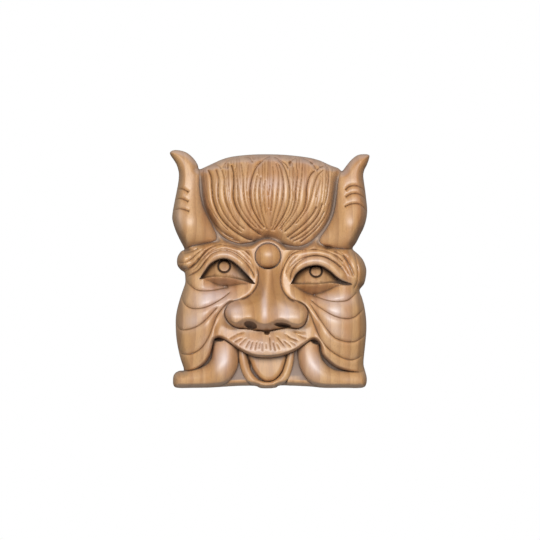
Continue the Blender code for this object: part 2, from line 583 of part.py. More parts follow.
def with_eye(height, x, z, eye):
    lid_line = smooth_curve(eye["lid"])
    ridge_line = smooth_curve(eye["ridge"])
    inset = inset_of(np.vstack([lid_line, ridge_line[::-1]]), x, z)
    gap, along, side = nearest(lid_line, x, z, 14)
    ends = ease(along, 0, 0.2) * ease(1 - along, 0, 0.2)
    lid_band = (side > 0) & (gap < 9) & (inset < 0)
    height = np.where(lid_band, height + 4.5 * dome(np.clip((gap - 3.8) / 5.2, -1, 1)) * ends, height)
    height = height - 3.2 * gouge(x, z, eye["fold"], 1.2, 0.08)
    height = height - 3.2 * gouge(x, z, eye["brow"], 1.2, 0.05)
    lid_z = np.interp(x, *lid_line.T)
    ridge_z = np.interp(x, *ridge_line.T)
    down = np.clip((lid_z - z) / np.maximum(lid_z - ridge_z, 0.5), 0, 1)
    facet_z = np.interp(x, *smooth_curve(eye["facet"]).T)
    tall = np.maximum(ridge_z - facet_z, 0)
    below = np.maximum(ridge_z - tall - z, 0)
    height = height - FACET_SLOPE * np.clip(ridge_z - z, 0, tall) * np.exp(-((below / 9) ** 1.3))
    eyeball = EYE_DEPTH + (EYE_RISE - EYE_DEPTH) * down**0.8 - 0.011 * (x - eye["pupil"][0]) ** 2
    height = np.where(inset > 0, mix(height, eyeball, ease(inset, 0, 1)), height)
    ring = np.hypot(x - eye["pupil"][0], z - eye["pupil"][1])
    on_ball = inset > -0.3
    height = np.where((ring < PUPIL_RADIUS) & on_ball, height + 0.6 * dome(ring / PUPIL_RADIUS), height)
    return height - 3.6 * np.clip(1 - np.abs(ring - PUPIL_RADIUS - 0.8) / 1.3, 0, 1) * on_ball


def strand_place(x, z):
    """Which strand passes here, from -1 to 1 across the hair, and the height along it."""
    low = np.full(x.shape, -1.6)
    high = np.full(x.shape, 1.6)
    spread = smooth_curve(STRAND_SPREAD)
    for _ in range(18):
        place = (low + high) / 2
        rise = z - STRANDS_MEET + STRANDS_SINK * np.abs(place) ** 1.5
        right = 0.5 + place * np.interp(rise, *spread.T) < x
        low = np.where(right, place, low)
        high = np.where(right, high, place)
    return place, rise, np.maximum(np.interp(rise, *spread.T), 6)


def strand_cuts(place, rise, wide, count, deepest, width, sway):
    """Depth of a row of cuts along the strands, uneven as a hand makes them."""
    cuts = 0
    for index in range(count):
        at = -1.01 + 2.02 * (index + 0.5 + 0.3 * math.sin(12.9 * index + sway)) / count
        deep = deepest * (0.65 + 0.35 * math.sin(5.7 * index + sway))
        bend = 0.012 * math.sin(2.1 * index) * np.sin(rise * 0.06 + index)
        cuts = np.maximum(cuts, deep * np.exp(-np.abs(place - at - bend) * wide / width))
    return cuts


def with_hair(height, x, z):
    inset = inset_of(smooth_curve(HAIR, True), x, z, 60)
    height = np.where(z > 138, mix(height, DITCH_DEPTH, ease(inset, -7, -0.5)), height)
    crown = profile(z, CROWN_PROFILE)
    hair = DITCH_DEPTH + (crown - 0.0026 * x**2 - DITCH_DEPTH) * shoulder(inset, 12)
    place, rise, wide = strand_place(x, z)
    cuts = strand_cuts(place, rise, wide, STRANDS, 0.9, 0.8, 1.3) * (ease(rise, 9, 18) + ease(rise, 45, 65))
    for deep, points in STRAND_CUTS:
        cuts = np.maximum(cuts, 1.2 * deep * gouge(x, z, points, 0.7 + 0.18 * deep, 0.05))
    for deep, points in LOCK_TIPS:
        cuts = np.maximum(cuts, deep * gouge(x, z, points, 1.4, 0.15))
    hair = hair - cuts * ease(inset, 0, 3)
    for px, pz, radius in CROWN_PITS:
        hair = hair - 2 * scoop(x, z, (px, pz), (radius, 1.3 * radius))
    return np.where(inset > 0, hair, height)


def with_horn(height, x, z, pad, lobe, step):
    inset = inset_of(smooth_curve(pad, True, 3), x, z)
    rounded = smoothed(inset, round(2 * (HORN_SOFTNESS / step) ** 2))
    height = mix(height, DITCH_DEPTH, ease(inset, -7, 0))
    level = profile(z, HORN_LEVELS)
    horn = DITCH_DEPTH + (level - DITCH_DEPTH) * shoulder(rounded, 13)
    horn = horn + 8 * swell(x, z, lobe, (13, 21)) * shoulder(inset, 12)
    return np.where(inset > 0, horn, height)


def with_ears(height, x, z):
    left = egg(x, z, (-80, 127), (11.5, 11.5), 22, 16)
    right = egg(x, z, (82.5, 117.5), (16, 21), 24, 20, 0.15)
    for lump in (left, right):
        height = np.where(lump > 0, joined(height, lump, 1.5), height)
    for line in EAR_CUTS:
        height = height - 2.6 * gouge(x, z, line, 1.3, 0.1)
    for deep, points in BROW_CUTS:
        height = height - deep * gouge(x, z, points, 1.1, 0.2)
    return height


def with_ball(height, x, z):
    ring = np.hypot(x - BALL_X, z - BALL_Z)
    height = mix(height, np.maximum(height, 46.5), ease(-ring, -BALL_RADIUS - 8, -BALL_RADIUS - 2))
    height = np.where(ring < BALL_RADIUS + 0.9, 45, height)
    return np.where(ring < BALL_RADIUS, 46 + 12 * dome(ring / BALL_RADIUS), height)


def carved_front(x, z, step):
    """Height of the carved front over the wall, on a grid of points this far apart."""
    gap, _, side = nearest(smooth_curve(MOUTH_LINE), x, z, np.ptp(z))
    over = gap * side
    height, nose_inset = with_nose(block(x, z), x, z)
    height = with_upper_lip(height, x, z, over, nose_inset)
    for cheek_line in CHEEK_LINES:
        height = height - 3.4 * gouge(x, z, cheek_line, 1.6, 0.08)
    height = np.where(over > 0, mix(28, height, shoulder(over + 0.6, 4)), mouth_and_jaw(x, z))
    for centre, radii, tilt in MOUTH_CORNERS:
        height = height - 9 * scoop(x, z, centre, radii, tilt) * (over < 0.4)
    for centre, radii, tilt in NOSTRILS:
        height = height - 12 * scoop(x, z, centre, radii, tilt)
    height = with_eye(height, x, z, LEFT_EYE)
    height = with_eye(height, x, z, RIGHT_EYE)
    height = with_hair(height, x, z)
    for pad, lobe in zip((LEFT_HORN, RIGHT_HORN), HORN_LOBES):
        height = with_horn(height, x, z, pad, lobe, step)
    for line in HORN_RINGS:
        height = height - 3.2 * gouge(x, z, line, 1.2, 0.06)
    height = with_ball(with_ears(height, x, z), x, z)
    for centre, radii in HORN_PITS:
        height = height - 4 * swell(x, z, centre, radii)
    outer = inset_of(smooth_curve(OUTLINE, True, 3), x, z, 60)
    rim = profile(z, RIM_PROFILE)
    return rim + (height - rim) * shoulder(outer, profile(z, EDGE_ROUNDING)), outer


def grid_places():
    """Two arrays, x and z of each grid point, row by row from below the foot."""
    points = np.array(OUTLINE)
    low = points.min(axis=0) - GRID_MARGIN
    high = points.max(axis=0) + GRID_MARGIN
    return np.meshgrid(np.arange(low[0], high[0], GRID_STEP), np.arange(low[1], high[1], GRID_STEP))


def moved_to_outline(x, z, outer):
    """The grid with the points beside the outline moved onto it, and 1 inside, 0 on it, -1 outside."""
    mark = np.where(outer > 0, 1, -1)
    moved_x = x.copy()
    moved_z = z.copy()
    shortest = np.full(x.shape, 0.5)
    for row_move, column_move in ((0, 1), (0, -1), (1, 0), (-1, 0)):
        other = np.roll(outer, (-row_move, -column_move), axis=(0, 1))
        crosses = (outer > 0) != (other > 0)
        share = np.where(crosses, outer / np.where(crosses, outer - other, 1), 1)
        chosen = share <= shortest
        moved_x[chosen] = (x + column_move * share * GRID_STEP)[chosen]
        moved_z[chosen] = (z + row_move * share * GRID_STEP)[chosen]
        shortest[chosen] = share[chosen]
        mark[chosen] = 0
    return moved_x, moved_z, mark


def cut_to_outline(bm, mark, outer):
    """Keeps the faces inside the outline, with a triangle where one corner of a square is outside."""
    places = {vert: divmod(index, mark.shape[1]) for index, vert in enumerate(bm.verts)}
    leftover = []
    for face in bm.faces[:]:
        kept = [vert for vert in face.verts if mark[places[vert]] >= 0]
        on_line = all(mark[places[vert]] == 0 for vert in kept)
        outside = on_line and sum(outer[places[vert]] for vert in kept) <= 0
        if len(kept) < 4 or outside:
            leftover.append(face)
        if len(kept) == 3 and not outside:
            bm.faces.new(kept)
    bmesh.ops.delete(bm, geom=leftover, context="FACES")
    stray = [vert for vert in bm.verts if not vert.link_faces]
    bmesh.ops.delete(bm, geom=stray, context="VERTS")


def put_in_order(bm, sheet_points):
    """Sorts edges and faces by their points, because an extrusion adds its sides in no fixed order."""
    bm.verts.index_update()
    total = len(bm.verts)

    def edge_place(edge):
        low, high = sorted(vert.index for vert in edge.verts)
        return low * total + high

    def face_place(face):
        numbers = sorted(vert.index for vert in face.verts)
        is_side = numbers[0] < sheet_points <= numbers[-1]
        return numbers[0] * total + numbers[1] + is_side * total * total

    bm.edges.sort(key=edge_place)
    bm.faces.sort(key=face_place)


def back_height(x, z, outer):
    """Height of the back over the wall: 0, but for the horn tips, which are round all over."""
    thickness = profile(z, RIM_PROFILE) - HORN_LIFT - 2
    lift = HORN_LIFT + thickness * (1 - shoulder(outer, HORN_BACK_ROUNDING))
    on_tips = ease(np.abs(x - 2), HORN_TIPS_INNER, HORN_TIPS_OUTER)
    return lift * ease(z, HORN_TIPS_START, HORN_TIPS_FREE) * on_tips


def origin_height():
    """Height of the origin over the foot: the mount on the back, below the hanging hole."""
    return MASK_HEIGHT - HOLE_BELOW_TOP - MOUNT_BELOW_HOLE


def carved_blank():
    """The mask as one closed mesh: a sheet cut to the outline, thickened, and carved on its front."""
    x, z = grid_places()
    height, outer = carved_front(x, z, GRID_STEP)
    height = smoothed(height, 1)
    x, z, mark = moved_to_outline(x, z, outer)
    height = np.where(mark == 0, profile(z, RIM_PROFILE), height)
    back = back_height(x, z, np.where(mark > 0, outer, 0))
    drawn_width, drawn_height = np.ptp(smooth_curve(OUTLINE, True, 3), axis=0)
    world_x = x * METRES * MASK_WIDTH / drawn_width
    world_z = z * METRES * MASK_HEIGHT / drawn_height - origin_height() * METRES
    front_y = -height * METRES * MASK_DEPTH / height.max()
    back_y = -back * METRES * MASK_DEPTH / height.max()
    bm = bmesh.new()
    rows, columns = x.shape
    bmesh.ops.create_grid(bm, x_segments=columns - 1, y_segments=rows - 1, size=0.5)
    front_layer = bm.verts.layers.float.new("front")
    places = zip(bm.verts, world_x.flat, world_z.flat, back_y.flat, front_y.flat)
    for vert, vert_x, vert_z, behind, before in places:
        vert.co = (vert_x, behind, vert_z)
        vert[front_layer] = before
    cut_to_outline(bm, mark, outer)
    sheet_points = len(bm.verts)
    for part in bmesh.ops.extrude_face_region(bm, geom=bm.faces[:])["geom"]:
        if isinstance(part, bmesh.types.BMVert):
            part.co.y = part[front_layer]
    put_in_order(bm, sheet_points)
    bmesh.ops.recalc_face_normals(bm, faces=bm.faces[:])
    mesh = bpy.data.meshes.new("mask")
    bm.to_mesh(mesh)
    bm.free()
    return mesh


def wood():
    material = bpy.data.materials.new("wood")
    material.use_nodes = True
    shader = material.node_tree.nodes["Principled BSDF"]
    shader.inputs["Base Color"].default_value = WOOD_COLOUR
    shader.inputs["Roughness"].default_value = WOOD_ROUGHNESS
    return material


def apply_modifiers(obj):
    bpy.context.view_layer.objects.active = obj
    for modifier in list(obj.modifiers):
        bpy.ops.object.modifier_apply(modifier=modifier.name)


def thin_out(obj):
    """Brings the mesh down to its triangles, most of them where the carving turns."""
    modifier = obj.modifiers.new("fewer triangles", "DECIMATE")
    modifier.use_collapse_triangulate = True
    modifier.ratio = TRIANGLES / sum(len(face.vertices) - 2 for face in obj.data.polygons)
    apply_modifiers(obj)


def flatten_back(obj):
    """Puts the points of the back exactly on the wall plane."""
    for vert in obj.data.vertices:
        if abs(vert.co.y) < 0.3 * METRES:
            vert.co.y = 0


def drill_hanging_hole(obj):
    """A blind hole in the back that a nail in the wall goes into."""
    bpy.ops.mesh.primitive_cylinder_add(
        vertices=32,
        radius=HOLE_DIAMETER / 2 * METRES,
        depth=2 * HOLE_DEPTH * METRES,
        location=(0, 0, MOUNT_BELOW_HOLE * METRES),
        rotation=(math.radians(90), 0, 0),
    )
    cutter = bpy.context.object
    cutter.name = "hanging_hole_cutter"
    cutter.display_type = "WIRE"
    cutter.hide_render = True
    modifier = obj.modifiers.new("hanging hole", "BOOLEAN")
    modifier.operation = "DIFFERENCE"
    modifier.solver = "EXACT"
    modifier.object = cutter
    apply_modifiers(obj)
    bpy.data.objects.remove(cutter)


def main():
    for obj in list(bpy.data.objects):
        bpy.data.objects.remove(obj)
    mask = bpy.data.objects.new("mask", carved_blank())
    bpy.context.scene.collection.objects.link(mask)
    mask.data.materials.append(wood())
    thin_out(mask)
    flatten_back(mask)
    drill_hanging_hole(mask)


main()
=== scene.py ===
"""The looks of a carved wooden wall mask, laid out as a Blender add-on and run as a script."""

import math

import bmesh
import bpy
import numpy as np
from bpy.props import FloatProperty, FloatVectorProperty, IntProperty, PointerProperty
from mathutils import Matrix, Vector


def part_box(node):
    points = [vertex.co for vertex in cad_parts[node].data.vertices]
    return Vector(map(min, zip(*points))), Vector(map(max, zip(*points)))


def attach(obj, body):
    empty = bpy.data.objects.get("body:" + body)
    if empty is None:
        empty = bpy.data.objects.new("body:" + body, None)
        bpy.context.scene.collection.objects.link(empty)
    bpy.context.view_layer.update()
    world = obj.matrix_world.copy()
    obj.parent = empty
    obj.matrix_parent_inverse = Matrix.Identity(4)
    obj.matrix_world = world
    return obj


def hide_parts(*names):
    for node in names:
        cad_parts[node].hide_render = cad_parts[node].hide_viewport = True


bl_info = {
    "name": "Wooden wall mask",
    "version": (1, 0, 0),
    "blender": (4, 5, 0),
    "location": "3D View > Sidebar > Wall mask",
    "description": "Carves and finishes a wooden wall mask in the place of its plain solid",
    "category": "Add Mesh",
}

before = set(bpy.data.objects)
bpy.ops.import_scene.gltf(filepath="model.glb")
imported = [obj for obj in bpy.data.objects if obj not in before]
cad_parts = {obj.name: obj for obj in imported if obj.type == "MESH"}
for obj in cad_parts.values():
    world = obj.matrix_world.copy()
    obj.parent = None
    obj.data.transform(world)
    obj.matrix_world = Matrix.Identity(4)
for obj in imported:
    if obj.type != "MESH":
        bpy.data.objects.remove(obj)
SOLID_LOW, SOLID_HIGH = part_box("mask")
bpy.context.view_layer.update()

GRID_MARGIN = 3.0

# Pairs of z and a length, from foot to top: half the width of the rounded block, the depth of its middle,
# the radius of its edge, the depth of the rim, of the hair's crown and of the horns, and five profiles of
# the nose.
BLOCK_HALF_WIDTHS = [(-10, 96), (20, 97), (60, 101), (100, 96), (140, 92), (180, 91), (250, 81)]
BLOCK_TOPS = [
    (-10, 38), (20, 44), (45, 49), (75, 50), (110, 47), (135, 46), (160, 44), (200, 40), (250, 28),
]
EDGE_ROUNDING = [(-10, 7), (16, 7), (24, 9), (130, 9), (215, 8), (250, 8)]
RIM_PROFILE = [(-10, 13), (100, 13), (195, 13), (222, 20), (250, 21)]
CROWN_PROFILE = [
    (138, 40), (148, 44.5), (158, 51), (170, 57.3), (182, 60.6), (192, 60.8), (202, 59.2), (212, 55.8),
    (220, 51),
    (228, 44), (240, 28),
]
HORN_LEVELS = [(130, 40), (150, 43), (165, 44), (185, 43), (205, 41), (222, 37), (240, 32)]
NOSE_LIFTS = [
    (56, 17), (66, 18), (76, 16.5), (84, 14.5), (92, 12), (103, 8.5), (115, 6), (126, 4), (140, 1),
]
NOSE_ROUNDING = [(56, 4), (66, 5), (76, 8), (90, 10), (103, 9), (140, 9)]
RIDGE_MIDDLES = [(56, -3), (80, -3), (100, -1.5), (126, 0.5), (140, 1)]
RIDGE_RISES = [
    (56, 3), (64, 8), (68, 9.5), (73, 10.5), (79, 11), (86, 11), (96, 9), (108, 6.5), (120, 3.5),
    (140, 0),
]
RIDGE_WIDTHS = [(56, 12), (66, 12), (76, 11), (84, 9.5), (91, 8.5), (100, 7), (140, 6)]
RIM_DEPTH = 13.0
HORN_LIFT = 7.0
HORN_SOFTNESS = 3.0
HORN_BACK_ROUNDING = 7.0
HORN_LOBES = [(-77, 162), (81, 162)]
HORN_TIPS_START = 198.0
HORN_TIPS_FREE = 224.0
HORN_TIPS_INNER = 66.0
HORN_TIPS_OUTER = 71.0
DITCH_DEPTH = 33.5
EYE_DEPTH = 31.0
EYE_RISE = 42.0
FACET_SLOPE = 1.9
UNDER_NOSE_DEPTH = 48.0
PUPIL_RADIUS = 5.2
BALL_X = 0.0
BALL_Z = 131.7
BALL_RADIUS = 12.2
STRANDS_MEET = 155.5
STRANDS_SINK = 16.5
STRANDS = 46
# Pits at the mouth's corners, the nostrils and the pits under the horns: centre, radii and tilt.
MOUTH_CORNERS = [((-48.5, 49.2), (5.5, 1.9), 0.0), ((46.3, 46.6), (4.8, 1.8), -0.4)]
NOSTRILS = [((-17, 64), (6.6, 4.2), -0.35), ((14.5, 64), (8.5, 2.7), -0.15)]
HORN_PITS = [((-81, 137.6), (4.6, 1.9)), ((59.5, 140.3), (3.4, 1.6))]

# Lines of the carving as points of x and z, in millimetres from the middle of the ball and the foot.

OUTLINE = [
    (-60, 0.2), (-76, 0), (-90, 0), (-94.3, 2.5), (-94.9, 9), (-93.5, 14), (-89, 16.6), (-84, 17.8),
    (-87, 28), (-89.5, 38), (-91.5, 50), (-92.2, 62), (-92, 71), (-90.7, 79), (-88, 89), (-85, 98),
    (-82.7, 105), (-82.7, 111), (-83.5, 115.5), (-87, 118), (-90.2, 122), (-91, 127), (-89.8, 132.5),
    (-86.5, 137), (-83.5, 139), (-88, 148), (-92.5, 158), (-95.5, 168), (-95.5, 174), (-94, 183),
    (-92, 193), (-90, 203), (-89, 210), (-89, 216), (-91, 223), (-94, 228), (-97.7, 234), (-95.5, 237),
    (-90, 237.6), (-83, 236), (-78, 233), (-73, 228), (-70, 223), (-68.4, 218.6), (-62, 221),
    (-54, 224.7), (-46, 228.2), (-38, 230.6), (-28, 232.1), (-14, 233.2), (0, 233.4), (14, 233),
    (28, 231.8), (42, 229.8), (52, 227), (62, 222.5), (70, 219.6), (73.7, 216.8), (78, 222), (83, 228),
    (89, 232.5), (95, 233.5), (100, 233), (101, 230.5), (98.5, 223), (96, 218), (95, 213), (95.5, 208),
    (97, 198), (98, 190), (99, 181), (99, 175), (98, 168), (95.5, 160), (92, 153), (88, 145),
    (84.5, 139.3), (90, 134), (95, 128), (98, 120), (98, 113), (96, 104), (91.5, 98), (93.7, 91),
    (95.7, 84), (97.2, 76), (98.1, 68), (98.3, 58), (97.2, 44), (96, 33), (95.4, 24), (97, 17),
    (98.7, 10), (97.8, 3), (93, 0), (76, 0), (56, 0), (44, 1.2), (30, 2), (12, 2.4), (8, 0.3),
    (0, -0.4),
    (-8, 0), (-13, 2), (-30, 2), (-46, 1),
]

# The lower edge of the face: cheek over tusk, mouth corner, upper lip, and the same on the right.
MOUTH_LINE = [
    (-125, 15), (-105, 16), (-92, 17), (-84, 17.8), (-76, 18.3), (-69, 20.7), (-63, 25), (-58.5, 31),
    (-56, 38), (-54.2, 46), (-52, 50), (-48, 51), (-42, 48), (-33, 42), (-25, 37), (-16, 33),
    (-6, 31.3),
    (7, 31.7), (17, 34), (27, 38), (35, 43.2), (42, 48), (46, 49.2), (50, 46.5), (52.2, 42), (53.5, 35),
    (58, 29), (66, 22.5), (76, 18.7), (86, 17), (98, 16.5), (112, 15), (130, 14),
]

# Tusks and lower lip: rows of x, z, radius and depth of the middle.
LEFT_TUSK = [
    (-42, 51, 12.5, 27), (-42, 44, 13.2, 30), (-42, 35, 13.4, 33), (-43.5, 25, 13.7, 35),
    (-50, 16.5, 13.5, 35),
    (-60, 12, 11.6, 34), (-70, 10, 10.2, 32), (-82, 8.8, 9.3, 29), (-104, 8, 9, 20),
]
RIGHT_TUSK = [
    (40, 50, 10.5, 28), (40, 44, 11, 31), (40.5, 34, 11.4, 34), (44, 23, 11.8, 36), (52, 14, 11.8, 36),
    (63, 9.5, 10.4, 35), (75, 8.3, 9.5, 32), (86, 8, 9.2, 29), (108, 7.5, 9, 21),
]
LOWER_LIP = [
    (-25.5, 42, 3.8, 37), (-24.7, 32, 4.2, 37.5), (-22.5, 21, 4.4, 37.5), (-18, 12, 4.4, 37.5),
    (-10.5, 5.4, 4.2, 37.5),
    (-0.5, 3.2, 4, 37.5), (9, 5.6, 4.1, 37.5), (16.5, 13, 4.1, 37.5), (20.5, 23, 3.9, 37.5),
    (22.3, 33, 3.5, 37.5),
    (22.8, 42, 3.2, 37),
]
TONGUE = [
    (-20, 36), (-17, 26), (-14, 18.5), (-9, 11.8), (-4, 8.3), (0, 7.6), (6, 8.8), (12, 14.5), (16, 22),
    (18, 36), (0, 42),
]

LEFT_HORN = [
    (-60, 172), (-64.5, 183), (-67.5, 198), (-68, 213), (-68.6, 218), (-70, 223), (-73, 228),
    (-78, 233), (-83, 236),
    (-90, 237.6), (-95.5, 237), (-97.7, 234), (-94, 228), (-91, 223), (-89, 216), (-89, 210),
    (-90, 203), (-92, 193),
    (-94, 183), (-95.5, 174), (-95.5, 168), (-92.5, 158), (-88, 148), (-83.5, 139.5), (-76, 142),
    (-68, 143.5),
    (-58, 145.5), (-50, 147), (-50, 151), (-55, 162),
]
RIGHT_HORN = [
    (64, 172), (66.5, 183), (68, 195), (69.5, 208), (73.6, 216.8), (78, 222), (83, 228), (89, 232.5),
    (95, 233.5),
    (100, 233), (101, 230.5), (98.5, 223), (96, 218), (95, 213), (95.5, 208), (97, 198), (98, 190),
    (99, 181), (99, 175),
    (98, 168), (95.5, 160), (92, 153), (88, 145), (84.5, 139.6), (72, 139.5), (62, 140.5), (52, 143.5),
    (50, 148),
    (55, 155), (60, 163),
]
HORN_RINGS = [
    [(-93, 197), (-87, 198.3), (-82, 197), (-78, 194.5)],
    [(-95, 187), (-88, 188.5), (-83, 187.6), (-78, 185)],
    [(-97, 176.5), (-88, 178.3), (-83, 177.6), (-77, 175.4)],
    [(76, 196.5), (80, 200.3), (86, 201.3), (92, 199.5), (99, 194)],
    [(76, 189.5), (81, 192.6), (87, 193.5), (93, 191.3), (100, 185)],
    [(75, 180), (80, 182.4), (86, 183.5), (92, 182), (100, 174.5)],
]

HAIR = [
    (-67.5, 226), (-66, 208), (-65, 193), (-63.5, 181), (-60, 171), (-54, 161), (-46, 152),
    (-37, 146.7), (-27, 144),
    (-16, 145.5), (-7, 148.5), (-1, 149.8), (5, 148.5), (12, 145), (22, 142), (32, 141.7), (41, 145.5),
    (49, 152),
    (56, 161), (62, 173), (65, 186), (67, 198), (68.5, 210), (73, 226), (60, 250), (0, 256), (-60, 250),
]
# Half the width of the hair against the height over the point where its strands meet.
STRAND_SPREAD = [
    (-6, 0), (0, 0.5), (3.5, 19), (7, 28), (11, 37), (17, 48), (25, 56), (37, 61), (52, 64.5),
    (78, 66.5), (100, 67),
]
# Cuts between the strands of hair, each with its depth.
STRAND_CUTS = [
    (2.2, [(-59, 163), (-52, 156), (-44, 151), (-36, 148), (-27, 145.5)]),
    (2.2, [(-68, 196), (-63, 180), (-57, 169), (-49, 159), (-40, 152), (-33, 148.5)]),
    (1.5, [(-64, 210), (-61, 194), (-58, 183), (-52, 172), (-45, 163), (-38, 156)]),
    (
        3.8,
        [
            (-60.5, 219), (-56, 210), (-55, 198), (-53.5, 186), (-49, 174), (-42, 164), (-32, 155.5),
            (-22, 149.5), (-14, 147),
        ],
    ),
    (2, [(-52, 219), (-48.5, 208), (-49, 196), (-47.5, 184), (-42, 172), (-34, 162), (-24, 154)]),
    (2, [(-46, 219), (-43, 208), (-43, 196), (-41, 184), (-36, 173), (-30, 164), (-22, 157)]),
    (
        3.6,
        [
            (-36.5, 223.5), (-34, 214), (-33.5, 202), (-34, 190), (-31, 179), (-25, 169), (-17, 160),
            (-5, 151),
        ],
    ),
    (1.8, [(-33, 221), (-30.5, 209), (-29.5, 196), (-29, 186), (-25, 176), (-18, 166), (-10, 158)]),
    (1.6, [(-27, 226), (-24.5, 210), (-24, 194), (-22, 182), (-17, 171), (-10, 162), (-5, 157)]),
    (1.2, [(-19, 224), (-20.5, 210), (-21, 198), (-19.5, 185), (-15, 174), (-8, 163)]),
    (
        2.8,
        [
            (-3, 227.5), (-10, 221), (-14, 213), (-17, 202), (-17.5, 190), (-15, 178), (-9, 167),
            (-2, 158),
        ],
    ),
    (1.6, [(-10, 213), (-12, 202), (-13, 190), (-11, 178), (-7, 167), (-2, 158)]),
    (1.6, [(-6.5, 211), (-8.5, 198), (-8, 186), (-6, 175), (-3, 164), (-0.5, 157)]),
    (1.4, [(-2.5, 207), (-4, 196), (-3.5, 184), (-2, 173)]),
    (1.2, [(2, 202), (0.5, 190), (0.5, 178)]),
    (1.4, [(4.5, 222), (5.5, 210), (4.5, 198), (4, 186), (2.5, 174)]),
    (1.5, [(7, 225), (10, 216), (10.5, 206), (9.5, 194), (8, 182), (5, 170), (2.5, 158)]),
    (1.8, [(10, 224), (13, 215), (15, 205), (15, 194), (13.5, 183), (10, 172), (6.5, 162), (3, 156)]),
    (2.6, [(8, 228.5), (15, 221), (19.5, 208), (21, 196), (20, 184), (16, 173), (10, 163), (4.5, 156)]),
    (1.4, [(25, 222), (25.5, 212), (24.5, 200), (24.5, 188), (21.5, 177), (16, 167), (9, 158)]),
    (2.2, [(29.5, 220), (28.5, 206), (27, 195), (26.5, 185), (23, 174), (17, 165), (11, 157)]),
    (1.6, [(34, 222), (33, 208), (31, 194), (29.5, 182), (24, 171), (17, 162), (12, 156)]),
    (2.6, [(47, 217), (41, 210), (38, 199), (37.5, 189), (35, 178), (29, 169), (22, 161), (15, 154.5)]),
    (1.8, [(56, 218), (49, 211), (45, 201), (42.5, 190), (39, 179), (33, 170), (26, 162)]),
    (1.2, [(54, 212), (50, 200), (47, 189)]),
    (2.6, [(48, 181), (43, 172), (35, 163), (26, 155.5), (18, 149.5)]),
    (2.8, [(54, 185), (49, 172), (40, 161), (30, 153), (21, 148)]),
    (2.2, [(56, 177), (50, 166), (42, 157), (33, 150), (24, 146)]),
    (2.4, [(61, 185), (58, 174), (53, 165), (46, 157), (38, 150), (31, 145)]),
    (1.6, [(61, 215), (59, 202), (58, 190), (55, 180)]),
    (1.2, [(64, 212), (63.5, 198), (62, 184)]),
]
# Cuts at the tips of the locks, which turn over at the crown.
LOCK_TIPS = [
    (2.6, [(-44.5, 217.5), (-43, 222.5), (-39, 226.5), (-32, 229.5)]),
    (2.2, [(-36.5, 222), (-37, 226.5), (-42, 227.5)]),
    (2.8, [(-14, 217), (-9, 223.5), (-2, 228.5), (4, 231)]),
    (2.8, [(4, 231), (11, 227), (17.5, 222), (20.5, 216)]),
    (2.6, [(29, 230), (23.5, 226), (20.5, 222.5)]),
    (2.6, [(32, 230), (40, 226), (45, 221.5), (47.5, 216)]),
    (2.4, [(47, 215.5), (52, 219.5), (59, 222.5)]),
    (2.4, [(58, 221.5), (60, 216), (59.5, 208)]),
    (2.4, [(-64, 221), (-56, 223), (-49, 221), (-45, 216)]),
    (2.4, [(-25, 230.5), (-18, 228.5), (-14.5, 223)]),
    (1.8, [(-59, 225.5), (-52, 225), (-46, 222.5)]),
]
# The whiskers on the upper lip.
WHISKER_CUTS = [
    (1.2, [(-21.5, 57), (-28, 55), (-32, 54)]),
    (1.2, [(-30, 54.5), (-35, 51.5), (-39.5, 49)]),
    (1.4, [(-24, 52), (-30, 48.5), (-34.5, 46)]),
    (1.4, [(-20, 52), (-25, 47), (-29.5, 43)]),
    (1.4, [(-17, 50), (-20, 45), (-22.5, 40.5)]),
    (1.4, [(-14.5, 49), (-17.5, 39)]),
    (1.5, [(-10.5, 49), (-13, 38)]),
    (1.2, [(-7.5, 48), (-9, 40)]),
    (1.4, [(-5.5, 48), (-5.4, 37)]),
    (1.1, [(-2, 47), (-1.5, 40)]),
    (1.6, [(1.6, 54.5), (2, 46), (3.2, 37)]),
    (1.5, [(4.4, 49), (7.8, 37)]),
    (1.2, [(8, 47), (12, 39)]),
    (2, [(7.5, 53.5), (12, 48), (18, 41)]),
    (1.6, [(13.5, 49.5), (19, 45.5), (24, 41)]),
    (2, [(15.5, 56.5), (21, 51.5), (26, 49.3), (31.5, 47.7)]),
    (1.2, [(21, 48), (28, 43.5)]),
    (1.4, [(28, 55), (34, 51.5), (40, 49.7)]),
    (1.2, [(23, 58.2), (31, 56), (39, 56)]),
]
# Cuts that run from the ears over the brows and beside the nose.
BROW_CUTS = [
    (1.8, [(-81, 115.5), (-72, 119.5), (-66, 126.5), (-60, 134), (-52, 139.5), (-42, 142.5)]),
    (1.8, [(-80, 119), (-72, 123.5), (-66, 131), (-60, 138), (-52, 142.5)]),
    (1.5, [(-78, 112), (-70, 116), (-64, 123), (-59, 130.5)]),
    (1.5, [(-28, 138.5), (-21, 132), (-16, 124), (-13.5, 115)]),
    (1.4, [(-21, 139), (-16, 132), (-12, 124), (-10, 113)]),
    (1.5, [(13.5, 120), (17, 128), (23, 135), (31, 139)]),
    (1.4, [(17, 109), (19, 120), (24, 128), (31, 134)]),
    (2.2, [(70, 138), (76, 130.5), (82, 120), (87, 108)]),
    (1.6, [(61, 135.5), (69, 129), (76, 120), (81.5, 109.5)]),
]
CROWN_PITS = [(-40.5, 221, 2.8), (22, 223, 2.0), (43, 224.5, 2.0), (52.5, 221.5, 2.6), (-14, 229, 2)]

